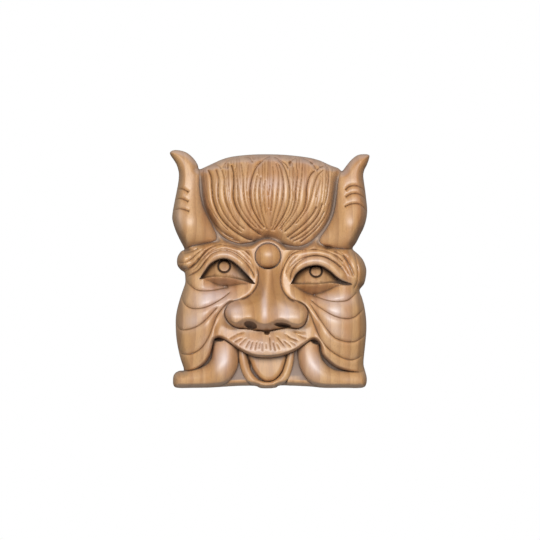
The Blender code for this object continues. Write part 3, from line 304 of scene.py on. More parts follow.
# Each eye: the edge of its upper lid, the ridge under the eyeball, the fold over the lid, the line that runs
# round it from the ear to the nose, the lower edge of the facet under it, and the middle of its pupil.
LEFT_EYE = {
    "lid": [
        (-67, 110), (-63, 116), (-58, 123), (-53, 126.8), (-48, 129), (-43, 129.6), (-37, 128),
        (-30, 123), (-24, 117),
        (-18, 111),
    ],
    "ridge": [
        (-68, 109), (-64, 109), (-58, 110.5), (-51, 111), (-42, 110.5), (-32, 109), (-24, 107),
        (-17, 104.5), (-12, 104),
    ],
    "fold": [
        (-84, 109), (-75, 114), (-68, 118.5), (-61, 127), (-55, 134), (-46, 137.2), (-36, 136),
        (-27, 130.5),
        (-20, 123), (-15, 115), (-13, 109),
    ],
    "brow": [
        (-86, 114.5), (-79, 118.5), (-71, 124.5), (-65, 132), (-58, 139), (-51, 142.8), (-42, 142.5),
        (-30, 140.5),
        (-21, 136), (-14, 127), (-10.5, 119), (-9.5, 111), (-10.5, 103), (-15, 96), (-21, 91),
        (-29, 87.5),
    ],
    "facet": [
        (-64, 109), (-57, 107), (-50, 103.5), (-42, 102), (-34, 103), (-26, 104.2), (-18, 104.2),
        (-12, 104),
    ],
    "pupil": (-43.3, 121.6),
}
RIGHT_EYE = {
    "lid": [
        (24, 107.5), (27, 113.5), (32, 118.3), (39, 121.7), (47, 123), (54, 121.6), (62, 116.5),
        (68, 111), (74, 107.2),
        (82, 104.8),
    ],
    "ridge": [
        (22, 104), (29, 103.7), (38, 103.5), (47, 103.5), (55, 104.2), (62, 105), (70, 104),
        (76, 102.8), (84, 103),
    ],
    "fold": [
        (22, 105), (23, 115), (28, 123.5), (36, 129.5), (46, 132), (56, 130.5), (65, 126), (74, 119),
        (82, 112),
        (88, 106),
    ],
    "brow": [
        (29, 85.5), (23, 88), (17, 94), (13.5, 101), (12.5, 109), (14, 117), (18, 126), (23, 133),
        (31, 136.5),
        (42, 138), (54, 137.5), (64, 134), (73, 127), (80, 119), (86, 110),
    ],
    "facet": [
        (22, 104), (27, 101.5), (33, 98), (40, 94.5), (46, 93.7), (53, 95.5), (60, 98.5), (68, 102),
        (76, 102.8),
    ],
    "pupil": (47.5, 117),
}

NOSE = [
    (-10, 134), (-10.5, 113), (-11, 103), (-15, 96), (-21, 91), (-30, 88.5), (-38, 85), (-42, 78),
    (-41, 71),
    (-37, 65.5), (-31, 61), (-25, 59.8), (-19, 59.5), (-13, 58.3), (-6, 57.6), (0, 57.2), (7, 58.5),
    (15, 60.2),
    (22, 60.8), (28, 60), (34, 62.5), (37.5, 69), (39, 77), (36, 83), (29, 87), (22, 89), (17, 95),
    (13.5, 103),
    (12.5, 113), (13, 134),
]
# The edge where the front of the nose turns under, and where its underside meets the lip.
NOSE_FRONT_EDGE = [
    (-42, 68), (-37, 66.5), (-32, 66), (-28, 67.5), (-23, 70), (-18, 70.5), (-13, 69), (-9, 66.5),
    (-4, 65),
    (0, 65.5), (4, 67), (8, 69), (13, 70), (18, 68.5), (23, 66), (29, 64.8), (34, 66), (40, 69),
]
NOSE_BASE = [
    (-42, 62), (-37, 61.5), (-31, 60), (-25, 59.5), (-19, 59.3), (-13, 58), (-6, 57.4), (0, 57),
    (7, 58.3), (15, 60),
    (22, 60.5), (28, 59.5), (34, 60), (40, 62),
]

CHEEK_LINES = [
    [(-83, 108), (-76, 102), (-69, 98), (-58, 97.5), (-46, 99.5), (-38, 101.5)],
    [
        (-92, 99), (-85.5, 90), (-82, 84), (-76, 80.5), (-68, 80), (-58, 82.5), (-48, 88), (-41, 93),
        (-36, 98),
    ],
    [
        (-99, 74), (-91, 65), (-88.5, 60.5), (-84, 58.7), (-76, 60), (-68, 63.5), (-60, 70),
        (-54, 76.5), (-48, 83),
    ],
    [
        (-97, 47), (-88, 37.5), (-84, 34.6), (-76, 35), (-68, 39), (-62, 45.5), (-57, 54.5),
        (-53.5, 64), (-50, 73), (-45, 80),
        (-39, 86), (-33, 88.3),
    ],
    [(43, 94), (52, 90), (62, 87.3), (72, 87), (80, 89), (90, 98)],
    [(41, 90), (47, 84), (54, 79), (64, 73.3), (74, 70.3), (82, 70.5), (89, 74), (101, 86)],
    [(40, 88), (47, 76), (54, 65), (63, 53.7), (70, 49.3), (80, 47), (89, 48.5), (104, 59)],
    [
        (26, 86.3), (32, 85), (37, 81), (41.5, 75), (45, 66), (49, 56), (53, 48), (60, 40), (69, 33.5),
        (79, 29.5),
        (87, 30), (102, 38),
    ],
]
EAR_CUTS = [
    [(-94, 134), (-84, 134.5), (-76, 136), (-68, 140)],
    [(-94, 126.5), (-84, 125), (-77, 128), (-70, 134), (-63, 140)],
    [(-90, 119.5), (-80, 119), (-74, 123), (-67, 131)],
    [(64, 137.5), (74, 132), (80, 122), (85, 110)],
    [(84.5, 138), (87, 128), (88.5, 118), (88, 106), (84, 98)],
]


# Tools for the carved front.


def smooth_curve(points, closed=False, steps=5):
    """Points on a smooth line through the given ones, whatever their number of columns."""
    knots = np.array(points, float)
    if closed:
        knots = np.vstack([knots[-1], knots, knots[0], knots[1]])
    else:
        knots = np.vstack([2 * knots[0] - knots[1], knots, 2 * knots[-1] - knots[-2]])
    t = np.linspace(0, 1, steps, endpoint=False)[:, None]
    line = []
    for before, start, end, after in zip(knots, knots[1:], knots[2:], knots[3:]):
        bend = 2 * before - 5 * start + 4 * end - after
        turn = 3 * start - before - 3 * end + after
        line.append(0.5 * (2 * start + (end - before) * t + bend * t**2 + turn * t**3))
    line = np.vstack(line)
    return line if closed else np.vstack([line, knots[-2]])


def profile(value, pairs):
    """A smooth curve read at value, through pairs of value and result."""
    line = smooth_curve(pairs)
    return np.interp(value, line[:, 0], line[:, 1])


def nearest(line, x, z, reach):
    """Distance to a line, share of the way along it, and side (1 to its left), within reach of it."""
    ends = np.asarray(line)[:, :2]
    low = ends.min(axis=0) - reach
    high = ends.max(axis=0) + reach
    close = (x > low[0]) & (x < high[0]) & (z > low[1]) & (z < high[1])
    px = x[close]
    pz = z[close]
    best = np.full(px.size, 1e9)
    along = np.zeros(px.size)
    side = np.zeros(px.size)
    for index, ((ax, az), (bx, bz)) in enumerate(zip(ends, ends[1:])):
        ex = bx - ax
        ez = bz - az
        share = np.clip(((px - ax) * ex + (pz - az) * ez) / (ex * ex + ez * ez + 1e-12), 0, 1)
        dx = px - ax - share * ex
        dz = pz - az - share * ez
        gap = dx * dx + dz * dz
        closer = gap < best
        best[closer] = gap[closer]
        along[closer] = index + share[closer]
        side[closer] = np.sign(ex * dz - ez * dx)[closer]
    found = [np.full(x.shape, 1e3), np.zeros(x.shape), np.zeros(x.shape)]
    for whole, part in zip(found, (np.sqrt(best), along / (len(ends) - 1), side)):
        whole[close] = part
    return found


def inset_of(outline, x, z, reach=40):
    """Distance to a closed outline, positive inside it."""
    ring = np.vstack([outline, outline[:1]])
    gap = nearest(ring, x, z, reach)[0]
    inside = np.zeros(x.shape, bool)
    for (ax, az), (bx, bz) in zip(ring, ring[1:]):
        if az != bz:
            crossing = (bx - ax) * (z - az) / (bz - az) + ax
            inside ^= ((az > z) != (bz > z)) & (x < crossing)
    return np.where(inside, gap, -gap)


def ease(value, start, end):
    """0 before start, 1 after end, smooth between."""
    share = np.clip((value - start) / (end - start), 0, 1)
    return share * share * (3 - 2 * share)


def mix(first, second, share):
    return first + (second - first) * share


def joined(first, second, blend):
    """The higher of two surfaces, with a fillet where they meet."""
    share = np.clip(0.5 + 0.5 * (first - second) / blend, 0, 1)
    return mix(second, first, share) + blend * share * (1 - share)


def dome(offset):
    """Height of a round top of radius 1, offset from its middle."""
    return np.sqrt(np.clip(1 - offset * offset, 0, 1))


def shoulder(inset, radius):
    """A rounded edge: 0 on the outline, 1 from radius inwards."""
    return dome(1 - np.clip(inset / radius, 0, 1))


def turned(x, z, centre, radii, tilt=0.0):
    """Offsets from a tilted oval's centre, in radii."""
    dx = x - centre[0]
    dz = z - centre[1]
    across = (dx * math.cos(tilt) + dz * math.sin(tilt)) / radii[0]
    up = (dz * math.cos(tilt) - dx * math.sin(tilt)) / radii[1]
    return across, up


def swell(x, z, centre, radii, tilt=0.0):
    """A soft swelling of height 1."""
    across, up = turned(x, z, centre, radii, tilt)
    return np.exp(-(across**2) - up**2)


def egg(x, z, centre, radii, depth, rise, tilt=0.0):
    """An oval lump that rises from depth, and 0 outside it."""
    offset = np.hypot(*turned(x, z, centre, radii, tilt))
    return np.where(offset < 1, depth + rise * dome(offset), 0)


def scoop(x, z, centre, radii, tilt=0.0):
    """A round hollow of depth 1."""
    return dome(np.clip(np.hypot(*turned(x, z, centre, radii, tilt)), 0, 1))


def limb(x, z, spine, fullness):
    """A round limb along rows of x, z, radius and depth of its middle."""
    line = smooth_curve(spine)
    gap, along, _ = nearest(line, x, z, line[:, 2].max() + 2)
    rows = np.arange(len(line))
    radius = np.interp(along * (len(line) - 1), rows, line[:, 2])
    middle = np.interp(along * (len(line) - 1), rows, line[:, 3])
    return np.where(gap < radius, middle + fullness * radius * dome(np.clip(gap / radius, 0, 1)), 0)


def gouge(x, z, points, width, fade=0.12):
    """A gouge cut: 1 on its line, falling away beside it and at its two ends."""
    line = smooth_curve(points) if len(points) > 2 else np.array(points, float)
    gap, along, _ = nearest(line, x, z, 5 * width)
    return np.exp(-gap / width) * ease(along, 0, fade) * ease(1 - along, 0, fade)


def smoothed(field, times):
    """A field on the grid, each point averaged with its neighbours this many times."""
    for _ in range(times):
        for axis in (0, 1):
            first = field.take([0], axis)
            last = field.take([-1], axis)
            padded = np.concatenate([first, field, last], axis)
            size = field.shape[axis]
            low = padded.take(range(size), axis)
            high = padded.take(range(2, size + 2), axis)
            field = 0.25 * low + 0.5 * field + 0.25 * high
    return field


def block(x, z):
    """The rounded block: brow, cheeks and jaw before any feature is cut."""
    half = profile(z, BLOCK_HALF_WIDTHS)
    top = profile(z, BLOCK_TOPS)
    across = np.clip(np.abs(x - 3) / half, 0, 1)
    height = RIM_DEPTH + (top - RIM_DEPTH) * np.sqrt(1 - across**4.6)
    height = height + 7 * swell(x, z, (-62, 70), (27, 34)) + 7 * swell(x, z, (69, 66), (27, 36))
    height = height - 7 * swell(x, z, (-45, 60), (8, 22), 0.25)
    height = height - 6 * swell(x, z, (43, 56), (8, 22), -0.25)
    return height - 3 * swell(x, z, (-42, 110), (30, 16)) - 3 * swell(x, z, (48, 106), (30, 16))


def with_nose(height, x, z):
    inset = inset_of(smooth_curve(NOSE, True, 3), x, z)
    lift = profile(z, NOSE_LIFTS)
    round_off = profile(z, NOSE_ROUNDING)
    edge = mix(shoulder(inset, round_off), ease(inset, -1, round_off + 2), ease(z, 80, 95))
    nose = height + lift * edge
    middle = profile(z, RIDGE_MIDDLES)
    ridge = profile(z, RIDGE_RISES)
    width = profile(z, RIDGE_WIDTHS)
    nose = nose + ridge * np.exp(-(np.abs((x - middle) / width) ** 2.2))
    nose = nose + 5 * swell(x, z, (-29, 73), (12, 10)) + 5 * swell(x, z, (23, 73), (13, 10))
    base_z = np.interp(x, *smooth_curve(NOSE_BASE).T)
    edge_z = np.interp(x, *smooth_curve(NOSE_FRONT_EDGE).T)
    falling = np.clip(1.15 - (z - base_z) / (edge_z - base_z), 0, 1.15) / 1.15
    turned_under = 1 - falling**1.4
    height = np.where(inset > 0, mix(UNDER_NOSE_DEPTH, nose, turned_under), height)
    return height - 2.4 * np.exp(-np.abs(inset) / 1.3) * ease(-z, -95, -78), inset


def with_upper_lip(height, x, z, over, nose_inset):
    arc = np.clip(1 - ((x + 1) / 53) ** 2, 0, 1)
    lip = 45 + 13 * arc**0.7 * ease(over, -3, 4) - 9 * arc * ease(z, 38, 62)
    share = ease(arc, 0, 0.35) * ease(-z, -66, -58) * (over > -1) * (nose_inset < 0)
    height = mix(height, np.maximum(lip, height - 4), share)
    for deep, points in WHISKER_CUTS:
        height = height - deep * gouge(x, z, points, 0.7, 0.3) * (nose_inset < 0)
    return height - 5 * scoop(x, z, (-1, 56.5), (2.8, 2.4)) * (nose_inset < -0.5)


def mouth_and_jaw(x, z):
    """What lies below the face's lower edge: mouth, tongue, lower lip, chin and tusks."""
    chin = 36 + 2 * ease(-z, -30, 0) - 0.12 * np.maximum(0, np.abs(x) - 22)
    height = mix(31, chin, ease(np.abs(x), 17, 20))
    inset = inset_of(smooth_curve(TONGUE, True), x, z)
    tongue = 34 + 7 * shoulder(inset, 5) - 1.5 * ease(z, 8, 36)
    height = np.where(inset > 0, tongue, height)
    height = np.maximum(height, limb(x, z, LOWER_LIP, 1.3))
    return np.maximum(height, np.maximum(limb(x, z, LEFT_TUSK, 1.15), limb(x, z, RIGHT_TUSK, 1.15)))


def with_eye(height, x, z, eye):
    lid_line = smooth_curve(eye["lid"])
    ridge_line = smooth_curve(eye["ridge"])
    inset = inset_of(np.vstack([lid_line, ridge_line[::-1]]), x, z)
    gap, along, side = nearest(lid_line, x, z, 14)
    ends = ease(along, 0, 0.2) * ease(1 - along, 0, 0.2)
    lid_band = (side > 0) & (gap < 9) & (inset < 0)
    height = np.where(lid_band, height + 4.5 * dome(np.clip((gap - 3.8) / 5.2, -1, 1)) * ends, height)
    height = height - 3.2 * gouge(x, z, eye["fold"], 1.2, 0.08)
    height = height - 3.2 * gouge(x, z, eye["brow"], 1.2, 0.05)
    lid_z = np.interp(x, *lid_line.T)
    ridge_z = np.interp(x, *ridge_line.T)
    down = np.clip((lid_z - z) / np.maximum(lid_z - ridge_z, 0.5), 0, 1)
    facet_z = np.interp(x, *smooth_curve(eye["facet"]).T)
    tall = np.maximum(ridge_z - facet_z, 0)
    below = np.maximum(ridge_z - tall - z, 0)
    height = height - FACET_SLOPE * np.clip(ridge_z - z, 0, tall) * np.exp(-((below / 9) ** 1.3))
    eyeball = EYE_DEPTH + (EYE_RISE - EYE_DEPTH) * down**0.8 - 0.011 * (x - eye["pupil"][0]) ** 2
    height = np.where(inset > 0, mix(height, eyeball, ease(inset, 0, 1)), height)
    ring = np.hypot(x - eye["pupil"][0], z - eye["pupil"][1])
    on_ball = inset > -0.3
    height = np.where((ring < PUPIL_RADIUS) & on_ball, height + 0.6 * dome(ring / PUPIL_RADIUS), height)
    return height - 3.6 * np.clip(1 - np.abs(ring - PUPIL_RADIUS - 0.8) / 1.3, 0, 1) * on_ball


def strand_place(x, z):
    """Which strand passes here, from -1 to 1 across the hair, and the height along it."""
    low = np.full(x.shape, -1.6)
    high = np.full(x.shape, 1.6)
    spread = smooth_curve(STRAND_SPREAD)
    for _ in range(18):
        place = (low + high) / 2
        rise = z - STRANDS_MEET + STRANDS_SINK * np.abs(place) ** 1.5
        right = 0.5 + place * np.interp(rise, *spread.T) < x
        low = np.where(right, place, low)
        high = np.where(right, high, place)
    return place, rise, np.maximum(np.interp(rise, *spread.T), 6)


def strand_cuts(place, rise, wide, count, deepest, width, sway):
    """Depth of a row of cuts along the strands, uneven as a hand makes them."""
    cuts = 0
    for index in range(count):
        at = -1.01 + 2.02 * (index + 0.5 + 0.3 * math.sin(12.9 * index + sway)) / count
        deep = deepest * (0.65 + 0.35 * math.sin(5.7 * index + sway))
        bend = 0.012 * math.sin(2.1 * index) * np.sin(rise * 0.06 + index)
        cuts = np.maximum(cuts, deep * np.exp(-np.abs(place - at - bend) * wide / width))
    return cuts


def with_hair(height, x, z):
    inset = inset_of(smooth_curve(HAIR, True), x, z, 60)
    height = np.where(z > 138, mix(height, DITCH_DEPTH, ease(inset, -7, -0.5)), height)
    crown = profile(z, CROWN_PROFILE)
    hair = DITCH_DEPTH + (crown - 0.0026 * x**2 - DITCH_DEPTH) * shoulder(inset, 12)
    place, rise, wide = strand_place(x, z)
    cuts = strand_cuts(place, rise, wide, STRANDS, 0.9, 0.8, 1.3) * (ease(rise, 9, 18) + ease(rise, 45, 65))
    for deep, points in STRAND_CUTS:
        cuts = np.maximum(cuts, 1.2 * deep * gouge(x, z, points, 0.7 + 0.18 * deep, 0.05))
    for deep, points in LOCK_TIPS:
        cuts = np.maximum(cuts, deep * gouge(x, z, points, 1.4, 0.15))
    hair = hair - cuts * ease(inset, 0, 3)
    for px, pz, radius in CROWN_PITS:
        hair = hair - 2 * scoop(x, z, (px, pz), (radius, 1.3 * radius))
    return np.where(inset > 0, hair, height)


def with_horn(height, x, z, pad, lobe, step):
    inset = inset_of(smooth_curve(pad, True, 3), x, z)
    rounded = smoothed(inset, round(2 * (HORN_SOFTNESS / step) ** 2))
    height = mix(height, DITCH_DEPTH, ease(inset, -7, 0))
    level = profile(z, HORN_LEVELS)
    horn = DITCH_DEPTH + (level - DITCH_DEPTH) * shoulder(rounded, 13)
    horn = horn + 8 * swell(x, z, lobe, (13, 21)) * shoulder(inset, 12)
    return np.where(inset > 0, horn, height)


def with_ears(height, x, z):
    left = egg(x, z, (-80, 127), (11.5, 11.5), 22, 16)
    right = egg(x, z, (82.5, 117.5), (16, 21), 24, 20, 0.15)
    for lump in (left, right):
        height = np.where(lump > 0, joined(height, lump, 1.5), height)
    for line in EAR_CUTS:
        height = height - 2.6 * gouge(x, z, line, 1.3, 0.1)
    for deep, points in BROW_CUTS:
        height = height - deep * gouge(x, z, points, 1.1, 0.2)
    return height


def with_ball(height, x, z):
    ring = np.hypot(x - BALL_X, z - BALL_Z)
    height = mix(height, np.maximum(height, 46.5), ease(-ring, -BALL_RADIUS - 8, -BALL_RADIUS - 2))
    height = np.where(ring < BALL_RADIUS + 0.9, 45, height)
    return np.where(ring < BALL_RADIUS, 46 + 12 * dome(ring / BALL_RADIUS), height)


def carved_front(x, z, step):
    """Height of the carved front over the wall, on a grid of points this far apart."""
    gap, _, side = nearest(smooth_curve(MOUTH_LINE), x, z, np.ptp(z))
    over = gap * side
    height, nose_inset = with_nose(block(x, z), x, z)
    height = with_upper_lip(height, x, z, over, nose_inset)
    for cheek_line in CHEEK_LINES:
        height = height - 3.4 * gouge(x, z, cheek_line, 1.6, 0.08)
    height = np.where(over > 0, mix(28, height, shoulder(over + 0.6, 4)), mouth_and_jaw(x, z))
    for centre, radii, tilt in MOUTH_CORNERS:
        height = height - 9 * scoop(x, z, centre, radii, tilt) * (over < 0.4)
    for centre, radii, tilt in NOSTRILS:
        height = height - 12 * scoop(x, z, centre, radii, tilt)
    height = with_eye(height, x, z, LEFT_EYE)
    height = with_eye(height, x, z, RIGHT_EYE)
    height = with_hair(height, x, z)
    for pad, lobe in zip((LEFT_HORN, RIGHT_HORN), HORN_LOBES):
        height = with_horn(height, x, z, pad, lobe, step)
    for line in HORN_RINGS:
        height = height - 3.2 * gouge(x, z, line, 1.2, 0.06)
    height = with_ball(with_ears(height, x, z), x, z)
    for centre, radii in HORN_PITS:
        height = height - 4 * swell(x, z, centre, radii)
    outer = inset_of(smooth_curve(OUTLINE, True, 3), x, z, 60)
    rim = profile(z, RIM_PROFILE)
    return rim + (height - rim) * shoulder(outer, profile(z, EDGE_ROUNDING)), outer


def grid_places(step):
    """Two arrays, x and z of each grid point, row by row from below the foot."""
    points = np.array(OUTLINE)
    low = points.min(axis=0) - GRID_MARGIN
    high = points.max(axis=0) + GRID_MARGIN
    return np.meshgrid(np.arange(low[0], high[0], step), np.arange(low[1], high[1], step))


def moved_to_outline(x, z, outer, step):
    """The grid with the points beside the outline moved onto it, and 1 inside, 0 on it, -1 outside."""
    mark = np.where(outer > 0, 1, -1)
    moved_x = x.copy()
    moved_z = z.copy()
    shortest = np.full(x.shape, 0.5)
    for row_move, column_move in ((0, 1), (0, -1), (1, 0), (-1, 0)):
        other = np.roll(outer, (-row_move, -column_move), axis=(0, 1))
        crosses = (outer > 0) != (other > 0)
        share = np.where(crosses, outer / np.where(crosses, outer - other, 1), 1)
        chosen = share <= shortest
        moved_x[chosen] = (x + column_move * share * step)[chosen]
        moved_z[chosen] = (z + row_move * share * step)[chosen]
        shortest[chosen] = share[chosen]
        mark[chosen] = 0
    return moved_x, moved_z, mark


def back_height(x, z, outer):
    """Height of the back over the wall: 0, but for the horn tips, which are round all over."""
    thickness = profile(z, RIM_PROFILE) - HORN_LIFT - 2
    lift = HORN_LIFT + thickness * (1 - shoulder(outer, HORN_BACK_ROUNDING))
    on_tips = ease(np.abs(x - 2), HORN_TIPS_INNER, HORN_TIPS_OUTER)
    return lift * ease(z, HORN_TIPS_START, HORN_TIPS_FREE) * on_tips


def outline_corners():
    """Lowest and highest x and z of the drawn outline."""
    line = smooth_curve(OUTLINE, True, 3)
    return line.min(axis=0), line.max(axis=0)


def to_world(x, z):
    """Drawn x and z as places in the solid's own box, in metres."""
    low, high = outline_corners()
    world_x = SOLID_LOW.x + (x - low[0]) * (SOLID_HIGH.x - SOLID_LOW.x) / (high[0] - low[0])
    world_z = SOLID_LOW.z + (z - low[1]) * (SOLID_HIGH.z - SOLID_LOW.z) / (high[1] - low[1])
    return world_x, world_z


def to_drawing(world_x, world_z):
    low, high = outline_corners()
    x = low[0] + (world_x - SOLID_LOW.x) * (high[0] - low[0]) / (SOLID_HIGH.x - SOLID_LOW.x)
    z = low[1] + (world_z - SOLID_LOW.z) * (high[1] - low[1]) / (SOLID_HIGH.z - SOLID_LOW.z)
    return x, z


def deselect_all():
    if bpy.context.object and bpy.context.object.mode != "OBJECT":
        bpy.ops.object.mode_set(mode="OBJECT")
    bpy.ops.object.select_all(action="DESELECT")


def grid_sheet(name, rows, columns):
    """A flat grid with a point for each place of the carving, numbered row by row."""
    deselect_all()
    bpy.ops.mesh.primitive_grid_add(x_subdivisions=columns - 1, y_subdivisions=rows - 1, size=1)
    sheet = bpy.context.object
    sheet.name = name
    sheet.data.name = name
    number = sheet.data.attributes.new("place", "INT", "POINT")
    number.data.foreach_set("value", np.arange(rows * columns, dtype=np.int32))
    return sheet


def coordinates(mesh):
    flat = np.empty(len(mesh.vertices) * 3)
    mesh.vertices.foreach_get("co", flat)
    return flat.reshape(-1, 3)


def place_numbers(mesh):
    numbers = np.empty(len(mesh.vertices), np.int32)
    mesh.attributes["place"].data.foreach_get("value", numbers)
    return numbers


def cut_to_outline(sheet, mark, outer):
    """Keeps the faces that lie inside the outline, with a triangle where one corner is outside."""
    bm = bmesh.new()
    bm.from_mesh(sheet.data)
    layer = bm.verts.layers.int["place"]
    marks = mark.ravel()
    insets = outer.ravel()
    leftover = []
    for face in bm.faces[:]:
        kept = [vert for vert in face.verts if marks[vert[layer]] >= 0]
        on_line = all(marks[vert[layer]] == 0 for vert in kept)
        outside = on_line and sum(insets[vert[layer]] for vert in kept) <= 0
        if len(kept) < 4 or outside:
            leftover.append(face)
        if len(kept) == 3 and not outside:
            bm.faces.new(kept)
    bmesh.ops.delete(bm, geom=leftover, context="FACES")
    stray = [vert for vert in bm.verts if not vert.link_faces]
    bmesh.ops.delete(bm, geom=stray, context="VERTS")
    bm.to_mesh(sheet.data)
    bm.free()


def put_in_order(bm, sheet_points):
    """Sorts edges and faces by their points, because an extrusion adds its sides in no fixed order."""
    bm.verts.index_update()
    total = len(bm.verts)

    def edge_place(edge):
        low, high = sorted(vert.index for vert in edge.verts)
        return low * total + high

    def face_place(face):
        numbers = sorted(vert.index for vert in face.verts)
        is_side = numbers[0] < sheet_points <= numbers[-1]
        return numbers[0] * total + numbers[1] + is_side * total * total

    bm.edges.sort(key=edge_place)
    bm.faces.sort(key=face_place)


def thicken(sheet):
    """Extrudes the sheet one metre forwards, so that it is closed and its front easy to tell."""
    sheet_points = len(sheet.data.vertices)
    deselect_all()
    sheet.select_set(True)
    bpy.context.view_layer.objects.active = sheet
    bpy.ops.object.mode_set(mode="EDIT")
    bpy.ops.mesh.select_all(action="SELECT")
    bpy.ops.mesh.extrude_region_move(TRANSFORM_OT_translate={"value": (0, -1, 0)})
    bpy.ops.mesh.select_all(action="SELECT")
    bpy.ops.mesh.normals_make_consistent(inside=False)
    bpy.ops.object.mode_set(mode="OBJECT")
    bm = bmesh.new()
    bm.from_mesh(sheet.data)
    put_in_order(bm, sheet_points)
    bm.to_mesh(sheet.data)
    bm.free()


def apply_modifiers(obj):
    bpy.context.view_layer.objects.active = obj
    for modifier in list(obj.modifiers):
        bpy.ops.object.modifier_apply(modifier=modifier.name)


def thin_out(obj, triangles):
    """Brings the mesh down to its triangles, most of them where the carving turns."""
    modifier = obj.modifiers.new("fewer triangles", "DECIMATE")
    modifier.use_collapse_triangulate = True
    modifier.ratio = min(1, triangles / sum(len(face.vertices) - 2 for face in obj.data.polygons))
    apply_modifiers(obj)


def drill_hanging_hole(obj, sizes):
    """The blind hole in the back that a nail in the wall goes into."""
    deselect_all()
    bpy.ops.mesh.primitive_cylinder_add(
        vertices=48,
        radius=sizes.hole_diameter / 2,
        depth=2 * sizes.hole_depth,
        location=(0, 0, sizes.hole_over_mount),
        rotation=(math.radians(90), 0, 0),
    )
    drill = bpy.context.object
    modifier = obj.modifiers.new("hanging hole", "BOOLEAN")
    modifier.operation = "DIFFERENCE"
    modifier.solver = "EXACT"
    modifier.object = drill
    apply_modifiers(obj)
    bpy.data.objects.remove(drill)


def sampled(field, columns_at, rows_at):
    """A field of the grid read between its points."""
    columns_at = np.clip(columns_at, 0, field.shape[1] - 1.001)
    rows_at = np.clip(rows_at, 0, field.shape[0] - 1.001)
    column = columns_at.astype(int)
    row = rows_at.astype(int)
    across = columns_at - column
    up = rows_at - row
    lower = mix(field[row, column], field[row, column + 1], across)
    upper = mix(field[row + 1, column], field[row + 1, column + 1], across)
    return mix(lower, upper, up)


def add_number(mesh, name, values):
    attribute = mesh.attributes.new(name, "FLOAT", "POINT")
    attribute.data.foreach_set("value", np.asarray(values, np.float32))


def wear_fields(height, x, z, step):
    """What the finish needs to know of each place, 0 to 1: grooves, hollows, worn edges, dust, painted shade
    and painted sheen.
    """
    close = smoothed(height, round(2 * (1.0 / step) ** 2))
    wide = smoothed(close, round(2 * (4.0 / step) ** 2))
    # groove also carries painted shade: the finish darkens the cuts with it.
    groove = np.clip((close - height) / 0.9, 0, 1)
    edge = np.clip((height - close) / 0.9, 0, 1)
    # Painted shade: the finish darkens the colour in recesses with hollow, and more is added below under the
    # lids and on faces turned down.
    hollow = np.clip((wide - height - 1) / 6, 0, 1)
    shade = 0
    for eye in (LEFT_EYE, RIGHT_EYE):
        lid_line = smooth_curve(eye["lid"])
        eyeball = inset_of(np.vstack([lid_line, smooth_curve(eye["ridge"])[::-1]]), x, z)
        under_lid = np.exp(-nearest(lid_line, x, z, 20)[0] / 6)
        # Painted shade on the eyeball under the upper lid.
        hollow = np.clip(hollow + 0.9 * under_lid * ease(eyeball, -0.5, 1), 0, 1)
        # Painted shadow along the edge of the upper lid, and near black in the ring cut round each pupil.
        lid_edge = np.exp(-((nearest(lid_line, x, z, 20)[0] / 1.6) ** 2)) * ease(eyeball, -1, 0.5)
        ring = np.hypot(x - eye["pupil"][0], z - eye["pupil"][1]) - PUPIL_RADIUS - 0.8
        shade = np.maximum(shade, np.maximum(lid_edge, np.exp(-((ring / 0.9) ** 2)) * (eyeball > 0)))
    dust = 0
    for centre, radii, tilt, amount in DUST_AND_SHADE_PLACES:
        dust = dust + amount * swell(x, z, centre, radii, tilt)
    faces_up = -np.gradient(close, axis=0) / step
    # Painted shade on faces turned down, such as the underside of the nose and the facets under the eyes.
    hollow = np.clip(hollow + 0.8 * ease(-faces_up, 0.8, 2.2), 0, 1)
    # Painted highlight: the crown's faces turned up are paled as if they caught the light.
    bloom = 0.5 * ease(faces_up, 0.4, 1.4) * ease(z, 195, 215)
    for centre, radii, tilt, amount in PAINTED_SHEEN_PLACES:
        bloom = bloom + amount * swell(x, z, centre, radii, tilt)
    bloom = np.clip(bloom, 0, 1) * (1 - groove)
    ditch = inset_of(smooth_curve(HAIR, True), x, z, 60)
    dust = dust + 0.6 * np.exp(-(((ditch + 2) / 2.6) ** 2)) * ease(-z, -222, -205)
    dust = np.clip(dust, 0, 1) * np.clip(0.35 + 1.6 * hollow + groove, 0, 1)
    fields = {"groove": groove, "worn_edge": edge, "hollow": hollow}
    fields.update({"dust": dust, "shade": shade, "bloom": bloom})
    return fields


# Dust that has settled in the carving, and one patch of painted shade on the tongue: centre and radii of
# each patch, its tilt and how thick it is.
DUST_AND_SHADE_PLACES = [
    ((-24, 117), (8, 6), -0.6, 0.9),
    ((74, 106), (8, 4), 0, 0.8),
    ((-18, 63.5), (6, 4), 0, 0.9),
    ((15, 64), (8, 4), 0, 0.6),
    ((29, 27), (4, 11), 0, 1),
    ((-50, 48), (7, 3), 0, 0.7),
    ((47, 47), (6, 3), 0, 0.7),
    ((62, 25), (16, 5), -0.6, 0.9),
    ((-62, 24), (12, 4), 0.6, 0.7),
    ((-33, 26), (4, 10), 0, 0.7),
    ((-2, 34), (22, 4), 0, 0.6),
    ((-68, 190), (5, 30), 0, 0.8),
    ((66, 190), (5, 34), 0, 0.8),
    ((-52, 152), (12, 5), -0.5, 0.9),
    ((50, 150), (14, 5), 0.6, 0.9),
    ((0, 146), (20, 4), 0, 0.7),
    ((-82, 139), (6, 2.5), 0, 0.9),
    # Painted shade on the tongue, where the lip shades it.
    ((1, 22), (13, 15), 0, 0.4),
]
